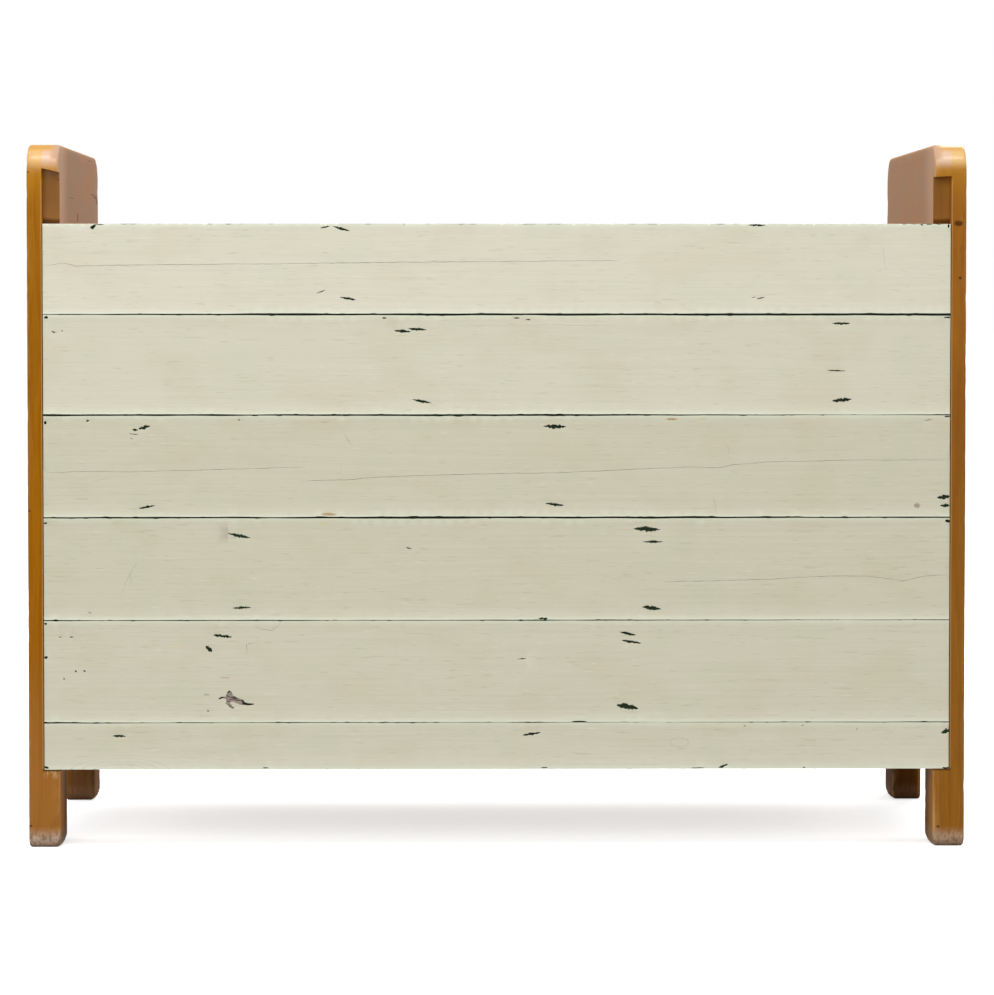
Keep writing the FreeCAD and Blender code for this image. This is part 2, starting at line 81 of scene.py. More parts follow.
class Wire:
    """The output of a node, which sums can be done with."""

    __add__ = __radd__ = sum_of("ADD")
    __mul__ = __rmul__ = sum_of("MULTIPLY")
    __sub__, __rsub__ = sum_of("SUBTRACT"), sum_of("SUBTRACT", True)
    __truediv__, __rtruediv__ = sum_of("DIVIDE"), sum_of("DIVIDE", True)
    __pow__, least, most = sum_of("POWER"), sum_of("MINIMUM"), sum_of("MAXIMUM")
    fraction, size = sum_of("FRACT"), sum_of("ABSOLUTE")

    def __init__(self, tree, socket):
        self.tree, self.socket = tree, socket

    def rise(self, low, high):
        """0 below low, 1 above high, and a smooth rise between them. High may be the lower."""
        values = {"Value": self, "From Min": low, "From Max": high}
        return self.tree.node("MapRange", {"interpolation_type": "SMOOTHSTEP"}, values)


class Tree:
    """A node tree, whose nodes are made and joined one at a time."""

    def __init__(self, tree):
        self.tree = tree
        tree.nodes.clear()

    def node(self, kind, settings=None, values=None, out=0):
        """Adds a node: first its settings, then the values or links of its sockets."""
        made = self.tree.nodes.new(kind if "Node" in kind else "ShaderNode" + kind)
        for name, setting in (settings or {}).items():
            setattr(made, name, setting)
        for name, value in (values or {}).items():
            if isinstance(value, Wire):
                self.tree.links.new(value.socket, made.inputs[name])
            else:
                made.inputs[name].default_value = value
        return Wire(self, made.outputs[out])


def ink(red, green, blue):
    """A colour as it looks on a screen, 0 to 255, turned into the linear one that is rendered."""
    parts = [value / 255 for value in (red, green, blue)]
    return (*(v / 12.92 if v <= 0.04045 else ((v + 0.055) / 1.055) ** 2.4 for v in parts), 1.0)


class Finish(Tree):
    """A material, or the light of the world. Its colours are wires, screen colours or linear."""

    def __init__(self, name, kind="Material"):
        self.owner = getattr(bpy.data, kind.lower() + "s").new(name)
        self.owner.use_nodes = True
        self.end = "ShaderNodeOutput" + kind
        super().__init__(self.owner.node_tree)

    def attribute(self, name, out="Fac"):
        return self.node("Attribute", {"attribute_name": name}, out=out)

    def vector_sum(self, operation, *terms, out=0):
        return self.node("VectorMath", {"operation": operation}, dict(enumerate(terms)), out)

    def split(self, vector):
        outputs = self.node("SeparateXYZ", values={0: vector}).socket.node.outputs
        return [Wire(self, output) for output in outputs]

    def join(self, *axes):
        return self.node("CombineXYZ", values=dict(enumerate(axes)))

    def stretch(self, vector, *by):
        return self.vector_sum("MULTIPLY", vector, by)

    def noise(self, vector, scale, detail=2.0, roughness=0.5):
        values = {"Vector": vector, "Scale": scale, "Detail": detail, "Roughness": roughness}
        return self.node("TexNoise", values=values)

    def mix(self, share, first, second, way="MIX"):
        colours = [ink(*c) if isinstance(c, tuple) and len(c) == 3 else c for c in (first, second)]
        settings = {"data_type": "RGBA", "blend_type": way}
        return self.node("Mix", settings, {0: share, 6: colours[0], 7: colours[1]}, out=2)

    def tint(self, colour, share, other):
        """Multiplies a colour by another one, as far as share says."""
        return self.mix(share, colour, other, "MULTIPLY")

    def layers(self, colour, *layers):
        """Lays colours over one another, each with the share of the surface that it takes."""
        for share, other in layers:
            colour = self.mix(share, colour, other)
        return colour

    def far(self, place, centre, reach):
        """How far a place is from a centre, where 1 is the reach along each axis."""
        gap = self.vector_sum("SUBTRACT", place, tuple(centre))
        shares = self.stretch(gap, *(1 / side for side in reach))
        return self.vector_sum("LENGTH", shares, out="Value")

    def bump(self, height, depth):
        return self.node("Bump", values={"Height": height, "Distance": depth}, out="Normal")

    def show(self, shader):
        self.tree.links.new(shader.socket, self.tree.nodes.new(self.end).inputs["Surface"])
        return self.owner

    def surface(self, values):
        return self.show(self.node("BsdfPrincipled", values=values))


def background_share(finish):
    """1 for rays that show the surroundings themselves: straight, in gloss or through glass."""
    rays = ("Is Camera Ray", "Is Glossy Ray", "Is Transmission Ray")
    camera_ray, glossy_ray, passing_ray = (finish.node("LightPath", out=name) for name in rays)
    return (camera_ray + glossy_ray + passing_ray).least(1.0)


WORLD_STRENGTH = 0.55
studio = Finish("studio", "World")
strength = background_share(studio) * (1 - WORLD_STRENGTH) + WORLD_STRENGTH
backdrop = studio.node("Background", values={"Color": (1, 1, 1, 1), "Strength": strength})
scene.world = studio.show(backdrop)

FLOOR_HALF = 60.0
floor_mesh = bpy.data.meshes.new("floor")
ways = (-1, -1), (1, -1), (1, 1), (-1, 1)
floor_corners = [(x * FLOOR_HALF, y * FLOOR_HALF, 0) for x, y in ways]
floor_mesh.from_pydata(floor_corners, [], [(0, 1, 2, 3)])
pale = Finish("pale_floor")
seen = background_share(pale)
floor_mesh.materials.append(
    pale.surface(
        {
            "Base Color": pale.mix(seen, (0.38, 0.37, 0.36, 1), (0.95, 0.95, 0.95, 1)),
            "Roughness": 1.0,
            "Specular IOR Level": 0.0,
            "Emission Color": pale.mix(seen, (0, 0, 0, 1), (0.62, 0.62, 0.62, 1)),
            "Emission Strength": 1.0,
        }
    )
)
add("floor", floor_mesh)

# Each lamp: place, width and height, watts
LAMPS = (
    ((0.0, 1.6, 4.4), (3.4, 1.0), 95),
    ((0.8, 4.0, 2.0), (2.8, 2.8), 70),
    ((-1.2, -3.4, 3.0), (2.6, 2.6), 80),
    ((4.4, -0.6, 1.8), (2.4, 2.4), 45),
    ((-4.4, -0.6, 1.8), (2.4, 2.4), 45),
)
for number, (place, across, watts) in enumerate(LAMPS, start=1):
    light = bpy.data.lights.new(f"softbox_{number}", "AREA")
    light.shape, light.energy = "ELLIPSE", watts
    light.size, light.size_y = across
    lamp = add(f"softbox_{number}", light)
    lamp.location = place
    lamp.rotation_euler = (Vector((0, 0, 0.45)) - Vector(place)).to_track_quat("-Z", "Y").to_euler()


# Ends: each is one thick pine board with two feet, an arch between them and a stopped rebate
# for the back boards. Its arrises were rounded by hand, and it has old amber varnish.
PHOTO_WIDTH, PHOTO_HEIGHT = 994, 995
END_STEP, FACE_GRID = 4 * MM, 24 * MM
FOOT_WEAR, FOOT_DEPTH, ARCH_HEIGHT = 9 * MM, 80 * MM, 98 * MM
TOP_RADIUS, ARCH_RADIUS, FOOT_RADIUS, INNER_FOOT_RADIUS = 35 * MM, 18 * MM, 13 * MM, 11.05 * MM
ARRIS, ARRIS_STEPS = 3.5 * MM, 5
SHARP_ANGLE = math.radians(38)
MERGE = 0.00001
LIP = 17.6 * MM
END_REAR, END_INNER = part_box("side_left")[1].y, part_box("side_left")[0].x
BOARDS_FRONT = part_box("back_board_1")[0].y
LIP_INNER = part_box("side_left")[1].x - LIP


def sight(right, down, axis, level):
    """The point that a pixel of the photograph shows on the plane at a level along an axis."""
    reach = lens.lens / lens.sensor_width * PHOTO_HEIGHT
    ray = Vector((right - PHOTO_WIDTH / 2, PHOTO_HEIGHT * (0.5 + lens.shift_y) - down, -reach))
    ray.rotate(camera.rotation_euler)
    start = Vector(CAMERA_PLACE)
    return start + ray * ((level - start[axis]) / ray[axis])


def rounded_outline(corners, step):
    """Points a step or less apart round a closed outline of square corners with their radii."""
    turns = []
    for index, (corner, radius) in enumerate(corners):
        here = Vector(corner)
        back = (Vector(corners[index - 1][0]) - here).normalized()
        ahead = (Vector(corners[(index + 1) % len(corners)][0]) - here).normalized()
        turns.append((here + back * radius, here + ahead * radius, back, ahead, radius))
    points = []
    for index, (start, end, back, ahead, radius) in enumerate(turns):
        centre = start + ahead * radius
        pieces = max(3, math.ceil(radius * math.pi / step))
        for angle in (math.pi / 2 * piece / pieces for piece in range(pieces)):
            point = centre - ahead * radius * math.cos(angle)
            points.append(point - back * radius * math.sin(angle))
        run = turns[(index + 1) % len(turns)][0] - end
        pieces = max(1, math.ceil(run.length / step))
        points += [end + run * piece / pieces for piece in range(pieces)]
    return points


def inward(points):
    """The inward direction at each point of a closed outline that turns to the left."""
    runs = [after - before for before, after in zip(points[-1:] + points, points[1:] + points[:1])]
    return [Vector((-run.y, run.x)).normalized() for run in runs]


def fill(outlines, inner=()):
    """Triangles inside outlines: points, triangles, the outlines of each, and the points given."""
    points, rings = [], []
    for outline in outlines:
        rings.append(list(range(len(points), len(points) + len(outline))))
        points += map(Vector, outline)
    made = delaunay_2d_cdt(points + [Vector(p) for p in inner], [], rings, 0, 1e-7, True)
    kept = [(face, owners) for face, owners in zip(made[2], made[5]) if owners]
    return made[0], [face for face, _ in kept], [owners for _, owners in kept], made[3]


def bridge(rings, count):
    """The faces between closed rings of count points each, one ring after another."""
    starts = range(0, (rings - 1) * count, count)
    pairs = [(index, (index + 1) % count) for index in range(count)]
    return [(a + i, a + j, a + count + j, a + count + i) for a in starts for i, j in pairs]


def settle(mesh):
    """Merges double points, turns the faces outwards and smooths all but the sharp edges."""
    work = bmesh.new()
    work.from_mesh(mesh)
    bmesh.ops.remove_doubles(work, verts=work.verts, dist=MERGE)
    bmesh.ops.dissolve_degenerate(work, edges=work.edges, dist=MERGE / 2)
    bmesh.ops.recalc_face_normals(work, faces=work.faces)
    for face in work.faces:
        face.smooth = True
    for edge in work.edges:
        edge.smooth = len(edge.link_faces) == 2 and edge.calc_face_angle(0) < SHARP_ANGLE
    work.to_mesh(mesh)
    work.free()


def mesh_of(name, points, faces, numbers=None):
    """A mesh of closed shells that face outwards, with a material number for each face."""
    mesh = bpy.data.meshes.new(name)
    mesh.from_pydata([tuple(p) for p in points], [], faces)
    if numbers is not None:
        mesh.polygons.foreach_set("material_index", numbers)
    settle(mesh)
    return mesh


def made_real(thing):
    """The plain mesh that an object's modifiers make of it."""
    bpy.context.view_layer.update()
    shaped = thing.evaluated_get(bpy.context.evaluated_depsgraph_get())
    return bpy.data.meshes.new_from_object(shaped)


def places(mesh):
    flat = np.empty(len(mesh.vertices) * 3)
    mesh.vertices.foreach_get("co", flat)
    return flat.reshape(-1, 3)


def note(mesh, name, values, kind="FLOAT"):
    """Stores a value for each point of the mesh, for its finish to read."""
    layer = mesh.attributes.new(name, kind, "POINT")
    key = "vector" if kind == "FLOAT_VECTOR" else "value"
    layer.data.foreach_set(key, np.asarray(values, np.float32).ravel())


def lay_in_log(mesh, along, across, draw, pith=None):
    """Notes where each point lay in its log: along it, and across and out from its pith."""
    place = places(mesh)[:, (along, across, 3 - along - across)]
    middle = (place.min(0) + place.max(0)) / 2
    pith = pith or (draw.uniform(-35, 35) * MM, draw.uniform(28, 85) * MM)
    note(mesh, "log", place - middle + (draw.uniform(0, 6), *pith), "FLOAT_VECTOR")


def stand(name, mesh, body, slot, *nodes):
    """Puts a finished piece on its body, in place of the nodes that it stands for."""
    piece = add(name, mesh)
    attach(piece, body)
    if nodes:
        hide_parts(*nodes)
    return piece


class Pine(Finish):
    """Pine read from the log that a piece was sawn from: year rings, fibres and knots."""

    def __init__(self, name, ring_width=3.1, knot_cell=0.16, knot_share=0.5, wander_by=30 * MM):
        super().__init__(name)
        self.log = self.attribute("log", "Vector")
        along, across, out = self.split(self.log)
        cell = self.join(along / knot_cell, across / (knot_cell * 0.55), 0.0)
        settings = {"voronoi_dimensions": "2D"}
        values = {"Vector": cell, "Scale": 1.0, "Randomness": 0.85}
        centre = self.node("TexVoronoi", settings, values, "Position")
        there_along, there_across, _ = self.split(centre)
        chance, girth, _ = self.split(self.node("TexVoronoi", settings, values, "Color"))
        far_along = along - there_along * knot_cell
        far_across = across - there_across * (knot_cell * 0.55)
        far = (far_along * far_along * 0.55 + far_across * far_across) ** 0.5
        radius = girth * (4.5 * MM) + 2.5 * MM
        has_knot = chance.rise(knot_share, knot_share - 0.02) * (1 - self.attribute("clear"))
        self.knot = far.rise(radius * 1.12, radius * 0.9) * has_knot
        swell = 1 / ((far / (radius * 2.2)) ** 2 + 1) * has_knot
        wander = self.grain(1.6, 6.0) - 0.5
        drift = self.noise(self.stretch(self.log, 1.1, 3.0, 3.0), 1.7, 1.0) - 0.5
        swayed = self.join(0.0, across + wander * wander_by, out + drift * (wander_by * 0.73))
        depth = self.vector_sum("LENGTH", swayed, out="Value")
        ruffle = self.grain(14, 160) - 0.5
        year = ((depth + swell * 0.009) / (ring_width * MM) + ruffle * 0.35).fraction()
        self.late = year**2.6 * year.rise(1.0, 0.93)
        self.fibre = self.grain(22, 900, 3.0, 0.6)
        self.knot_ring = (far / (1.15 * MM) + ruffle * 0.8).fraction()
        self.cloud = self.grain(3.5, 14, 3.0)
        self.broad = self.noise(self.stretch(self.log, 0.9, 5, 5), 1.3, 1.0)

    def grain(self, along, across, detail=2.0, roughness=0.5):
        """Noise that follows the log, with this many grains to a metre along and across it."""
        return self.noise(self.stretch(self.log, along, across, across), 1.0, detail, roughness)

    def wood(self, early, late, knot, contrast=0.8):
        """The colour of the planed wood."""
        colour = self.mix(self.late * contrast, early, late)
        colour = self.tint(colour, self.fibre.rise(0.62, 0.3) * 0.28, late)
        colour = self.tint(colour, self.cloud.rise(0.35, 0.75) * 0.22, late)
        dark = (*(v * 0.45 for v in ink(*knot)[:3]), 1.0)
        return self.mix(self.knot, colour, self.mix(self.knot_ring * 0.7, knot, dark))


# Marks in the ends, as pixels of the photograph: right, down and reach of each
LIP_KNOTS = ((958.5, 223.5, 4.8, 3.0), (960.0, 278.0, 1.8, 1.5), (56.0, 179.0, 2.2, 1.6))
NICKS = (
    (28.0, 172.0, 1.3, 1.0), (29.0, 511.0, 1.6, 1.2), (30.8, 826.0, 1.8, 1.2),
    (938.0, 826.5, 1.8, 1.2),
)
INNER_MARKS = (
    (92.6, 195.0, 2.2, 1.4), (95.2, 197.5, 2.0, 2.2), (97.0, 201.5, 1.2, 3.4),
    (77.8, 218.0, 0.8, 6.0), (72.0, 198.0, 3.0, 1.2), (89.5, 161.0, 1.6, 1.2),
)


def amber_varnish():
    """The ends' finish. Its x, y and z are in millimetres, as are the distances made of them."""
    pine = Pine("amber_varnish", ring_width=2.7, knot_share=0.45, wander_by=12 * MM)
    place = pine.node("TexCoord", out="Object")
    x, y, z = (axis / MM for axis in pine.split(place))
    from_inner, from_lip = (x.size() - level / MM for level in (END_INNER, LIP_INNER))
    left, right, rear = x.rise(-100, 100), x.rise(100, -100), y.rise(240, 246)
    contrast = from_inner.rise(26, 36) * (1 - rear) * 0.35 + 0.5
    colour = pine.layers(
        pine.wood((161, 103, 10), (128, 74, 6), (92, 46, 8), contrast),
        (pine.broad.rise(0.35, 0.68) * 0.4, (148, 82, 6)),
        (z.rise(745, 800) * 0.4, (196, 136, 22)),
        (z.rise(540, 720) * left * rear * 0.14, (200, 132, 30)),
        # The rounded top, paler and golden: painted light from above.
        (z.rise(812, 821) * 0.42, (232, 176, 84)),
        (z.rise(270, 60) * left * rear * 0.34, (172, 124, 76)),
        (right * 0.12, (160, 128, 90)),
    )
    colour = pine.tint(colour, right * z.rise(640, 480), (236, 236, 240))
    in_rebate = (y - BOARDS_FRONT / MM).size().rise(1.6, 0.6) * z.rise(800, 792) * z.rise(600, 620)
    in_rebate = in_rebate * from_lip.rise(0.6, 0)
    colour = pine.mix(in_rebate * (left * 0.38 + 0.34), colour, (162, 116, 70))
    # Painted shade in the rebate, deeper away from the lip, and a painted shadow along the top of
    # the boards.
    deep = from_lip.rise(0, (END_INNER - LIP_INNER) / MM + 4) * 0.35
    colour = pine.tint(colour, in_rebate * deep.most(z.rise(742, 736)), (150, 138, 110))
    # The inner faces take a paler, pinker colour, which is painted reflection of the pale room seen
    # at a glancing angle; their varnish is also duller.
    faded_with_reflection = pine.attribute("faded_with_reflection") * (1 - in_rebate)
    dull = pine.layers(
        pine.mix(pine.late * 0.3, (163, 137, 118), (142, 115, 96)),
        (pine.grain(26, 15, 3.0).rise(0.42, 0.58) * 0.7, (174, 132, 106)),
        (y.rise(-170, -240) * 0.5, (162, 142, 130)),
        (y.rise(120, 215) * 0.6, (200, 168, 146)),
        (right * 0.3, (188, 152, 120)),
        (pine.knot, (84, 54, 38)),
    )
    # Painted light and shade: the inner faces of the near feet lighter by the rear arris and darker
    # further in, and the far feet darkened as in shade under the bench.
    low_inside = z.rise(150, 90) * from_inner.rise(2, 0)
    painted_light_near_arris = low_inside * y.rise(160, 230) * 0.6
    colour = pine.layers(colour, (faded_with_reflection, dull), (painted_light_near_arris, (220, 152, 76)))
    shaded_far_feet = z.rise(130, 90) * y.rise(60, 0) * y.rise(-247, -241) * from_inner.rise(35, 31)
    shade = (low_inside * (y.rise(225, 170) * 0.4 + 0.05)).most(shaded_far_feet * (right * 0.4 + 0.6))
    colour = pine.tint(colour, shade, (174, 160, 124))
    worn = pine.attribute("worn") * (1 - in_rebate)
    bare = (worn * pine.grain(18, 60, 4.0, 0.65).rise(0.38, 0.62)).least(1.0)
    lip_edge = from_lip.rise(1.6, 0.2) * from_lip.rise(-0.5, 0) * y.rise(248, 249.5)
    bare = bare.most(lip_edge * z.rise(788, 782) * z.rise(92, 94) * 0.8)
    # Painted highlight along the rounded tops, pinker inside the lip and golden on it.
    painted_highlight = z.rise(795, 809) * z.rise(823, 815) * y.size().rise(222, 236)
    highlight_colour = pine.mix(from_lip.rise(-1, 1), (230, 203, 184), (233, 198, 138))
    scuffed = pine.attribute("scuffed")
    dirt = pine.grain(110, 330, 4.0, 0.6)
    grubby = pine.mix(dirt.rise(0.42, 0.62), (190, 166, 146), (146, 118, 94))
    under_boards = z.rise(80, 91) * z.rise(94, 92) * rear * x.rise(0, 100) * from_lip.rise(1, -1)
    # Painted shadow in a thin line just under the lowest back board.
    shadow_under_boards = z.rise(90, 90.8) * z.rise(93.4, 92.8) * rear * from_lip.rise(1.6, 0.4)
    ragged = pine.noise(place, 260.0, 3.0, 0.6) - 0.5
    dark = 0.0
    for marks, axis, level, depth, share in (
        (LIP_KNOTS, 1, END_REAR, 24 * MM, 1.0),
        (NICKS, 1, END_REAR, 4 * MM, 1.0),
        (INNER_MARKS, 0, END_INNER, 4 * MM, 0.45),
    ):
        for mark_right, down, wide, high in marks:
            centre = sight(mark_right, down, axis, level)
            reach = sight(mark_right + wide, down + high, axis, level) - centre
            reach[axis] = depth
            far = pine.far(place, centre, [abs(side) for side in reach]) + ragged * 0.7
            dark = dark + far.rise(1.2, 0.6) * share
    colour = pine.layers(
        colour,
        # The far left foot a little lighter within its painted shade.
        (shaded_far_feet * left * 0.25, (150, 116, 90)),
        (bare * 0.7, (200, 156, 104)),
        # Painted highlight on the rounded tops.
        (painted_highlight * 0.6 * (1 - bare) * (1 - faded_with_reflection), highlight_colour),
        (scuffed * dirt.rise(0.24, 0.44), grubby),
        (under_boards * dirt.rise(0.46, 0.6) * 0.7, (206, 180, 146)),
        # Painted shadow under the lowest board.
        (shadow_under_boards * 0.8, (72, 48, 22)),
        (dark.least(1.0) * 0.85, (74, 38, 12)),
    )
    polished = (z + ragged * 10).rise(784, 808) * (1 - faded_with_reflection)
    return pine.surface(
        {
            "Base Color": colour,
            "Roughness": bare * 0.15 + scuffed * 0.2 + faded_with_reflection * 0.25 + pine.fibre * 0.1 + 0.42,
            "Specular IOR Level": 0.0,
            "Normal": pine.bump(pine.late * 0.4 + pine.fibre * 0.3, 0.08 * MM),
            "Coat Weight": (polished * 0.5 + 0.05) * (1 - faded_with_reflection * 0.9) * (1 - bare * 0.6),
            "Coat Roughness": 0.24,
        }
    )


amber = amber_varnish()


class Slab:
    """A board of any outline, with its arrises rounded, between two broad faces."""

    def __init__(self, outline, thickness, arris, place, seed):
        self.edge = np.array([tuple(p) for p in outline])
        quarter = [math.pi / 2 * step / ARRIS_STEPS for step in range(ARRIS_STEPS + 1)]
        rings = [(arris * (1 - math.sin(a)), arris * (1 - math.cos(a))) for a in quarter]
        rings += [(0.0, thickness * share) for share in (0.3, 0.5, 0.7)]
        rings += [(inset, thickness - depth) for inset, depth in rings[ARRIS_STEPS::-1]]
        rim = list(zip(outline, inward(outline)))
        self.points = [place(p + way * inset, depth) for inset, depth in rings for p, way in rim]
        self.faces = bridge(len(rings), len(outline))
        low, high = self.edge.min(0), self.edge.max(0)
        columns, rows = (range(1, int(size / FACE_GRID) + 1) for size in high - low)
        grid = [(low[0] + FACE_GRID * i, low[1] + FACE_GRID * j) for i in columns for j in rows]
        grid = [p for p in map(Vector, grid) if self.to_edge(*p) > arris * 2]
        flat, triangles, _, _ = fill([[p + way * arris for p, way in rim]], grid)
        for depth, away in ((0.0, 1), (thickness, -1)):
            base = len(self.points)
            for p in flat:
                wave = noise.noise(Vector((p.x * 9, p.y * 5, depth * 99 + seed)))
                dip = (0.5 + 0.5 * wave) * 0.3 * MM if self.to_edge(*p) > arris * 1.5 else 0.0
                self.points.append(place(p, depth + away * dip))
            self.faces += [tuple(base + corner for corner in face) for face in triangles]

    def to_edge(self, u, v):
        return np.hypot(self.edge[:, 0] - u, self.edge[:, 1] - v).min()


def upright(sign, outer):
    """How a slab's outline and depth stand lengthwise, with its first face at outer."""
    return lambda point, depth: Vector((sign * (outer - depth), point.x, point.y))


# Dents and nicks of the ends: which end, place up and from the front, reach and depth, in mm
END_NICKS = {
    1: (
        (797, 490, 9, 1.2), (399, 497, 8, 1.3), (24, 497, 10, 1.6), (150, 2, 9, 1.4),
        (610, 3, 7, 1.0),
    ),
    -1: (
        (5, 486, 14, 2.0), (12, 499, 9, 1.5), (420, 2, 8, 1.2), (700, 498, 6, 0.8),
        (30, 3, 9, 1.4),
    ),
}
# Where the sloping top of each rebate starts and ends, at the inner face and at the lip
REBATE_TOP_PIXELS = {1: ((58.5, 174.0), (42.5, 168.0)), -1: ((934.5, 177.0), (950.0, 176.0))}


def end_board(name, node, sign, draw):
    low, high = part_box(node)
    front, rear, top = low.y, high.y, high.z
    outer = max(abs(low.x), abs(high.x))
    half = (high.x - low.x) / 2
    inner, middle = outer - 2 * half, outer - half
    corners = (
        ((front, 0.0), FOOT_RADIUS),
        ((front + FOOT_DEPTH, 0.0), INNER_FOOT_RADIUS),
        ((front + FOOT_DEPTH, ARCH_HEIGHT), ARCH_RADIUS),
        ((rear - FOOT_DEPTH, ARCH_HEIGHT), ARCH_RADIUS),
        ((rear - FOOT_DEPTH, 0.0), INNER_FOOT_RADIUS),
        ((rear, 0.0), FOOT_RADIUS),
        ((rear, top), TOP_RADIUS),
        ((front, top), TOP_RADIUS),
    )
    slab = Slab(rounded_outline(corners, END_STEP), 2 * half, ARRIS, upright(sign, outer), sign)
    points = slab.points
    for up, from_front, reach, depth in END_NICKS[sign]:
        across = outer - draw.choice((2, 30)) * MM
        spot = Vector((sign * across, front + from_front * MM, up * MM))
        for index, point in enumerate(points):
            far = (point - spot).length / (reach * MM)
            if far < 1:
                pull = Vector((sign * middle - point.x, (front + rear) / 10 - point.y * 0.2, 0))
                points[index] = point + pull.normalized() * (1 - far * far) ** 2 * depth * MM
    for index, point in enumerate(points):
        x = abs(point.x)
        rough = noise.noise(point * 38) + 0.5 * noise.noise(point * 110)
        near_face = abs(x - middle) > half - ARRIS * 1.2
        if near_face and slab.to_edge(point.y, point.z) < ARRIS * 1.2 and rough > 0.1:
            x += math.copysign((rough - 0.1) * 0.7 * MM, middle - x)
        off_middle = (abs(point.y) - rear + FOOT_DEPTH / 2) / (FOOT_DEPTH / 2)
        worn_up_to = FOOT_WEAR * (0.4 + 0.6 * off_middle**2)
        if point.z < worn_up_to and x < middle:
            short = worn_up_to - max(point.z, 0)
            x = max(x, inner + worn_up_to - math.sqrt(worn_up_to**2 - short**2))
        points[index] = Vector((sign * x, point.y, point.z))

    blank = add(name + "_blank", mesh_of(name, points, slab.faces))
    box = [
        (sign * x, y, z)
        for x, pixel in zip((inner - 0.01, outer - LIP), REBATE_TOP_PIXELS[sign])
        for y in (BOARDS_FRONT, rear + 0.01)
        for z in (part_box("back_board_1")[0].z, sight(*pixel, 1, rear).z)
    ]
    sides = ((0, 1, 3, 2), (4, 6, 7, 5), (0, 4, 5, 1), (2, 3, 7, 6), (0, 2, 6, 4), (1, 5, 7, 3))
    cutter = add(name + "_rebate", mesh_of(name + "_rebate", box, sides))
    cut = blank.modifiers.new("rebate", "BOOLEAN")
    cut.operation, cut.solver, cut.object = "DIFFERENCE", "EXACT", cutter
    mesh = made_real(blank)
    for tool in (blank, cutter):
        bpy.data.objects.remove(tool)
    mesh.materials.clear()
    settle(mesh)

    at = places(mesh)
    across, along, up = np.abs(at[:, 0]), at[:, 1], at[:, 2]
    to_edge = np.array([slab.to_edge(y, z) for _, y, z in at])
    to_face = np.minimum(outer - across, across - inner).clip(0)
    reach = ARRIS * 1.15
    near_arris = (1 - to_edge / reach).clip(0, 1) * (1 - to_face / reach).clip(0, 1)
    inside = across < middle
    low_down = (1.4 - up / (50 * MM)).clip(0, 1)
    note(mesh, "worn", near_arris * (0.5 + 0.4 * inside + 2.0 * inside * low_down))
    # How far the inner faces show the painted reflection and the duller varnish: little by the
    # feet, most higher up.
    inner_face_to = inner + ARRIS * np.where(along < rear - ARRIS * 1.5, 1.2, 0.2)
    note(mesh, "faded_with_reflection", (across < inner_face_to) * (0.1 + 0.85 * (up / 0.12 - 1).clip(0, 1)))
    scuffs = (2.1 - up / (11 * MM)).clip(0, 1) * (0.85 + 0.15 * sign)
    note(mesh, "scuffed", scuffs * (0.15 + 0.85 * (along > 0.1)))
    note(mesh, "clear", np.abs(along) > 0.125)
    lay_in_log(mesh, 2, 1, draw, (draw.uniform(-60, 60) * MM, draw.uniform(35, 60) * MM))
    mesh.materials.append(amber)
    return stand(name, mesh, "bench_frame", "varnished_pine", node)


end_board("end_left", "side_left", 1, random.Random(11))
end_board("end_right", "side_right", -1, random.Random(12))


# Back: six tongued and grooved pine boards, lying one on the other in the rebates of the ends.
# Old green paint and a later cream coat cover them, and the cream has chipped at knots and joints.
TONGUE_LENGTH, TONGUE_THICKNESS, TONGUE_PLAY = 7 * MM, 6 * MM, 0.3 * MM
GROOVE_DEPTH, COAT, STATION = 6.3 * MM, 0.5 * MM, 14 * MM
BACK_LOW, BACK_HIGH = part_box("back_board_1")[0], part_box("back_board_6")[1]


def on_back(right, down):
    """The point of the rear face that a pixel of the photograph shows."""
    return sight(right, down, 1, BACK_HIGH.y)


PIXEL = on_back(496, 500).x - on_back(497, 500).x


def spread(near, whole):
    """Places from 0 to a whole length: those near each end, and about a station apart between."""
    free = whole - 2 * near[-1]
    count = round(free / STATION)
    between = [near[-1] + free / count * step for step in range(1, count)]
    return near + between + [whole - place for place in reversed(near)]


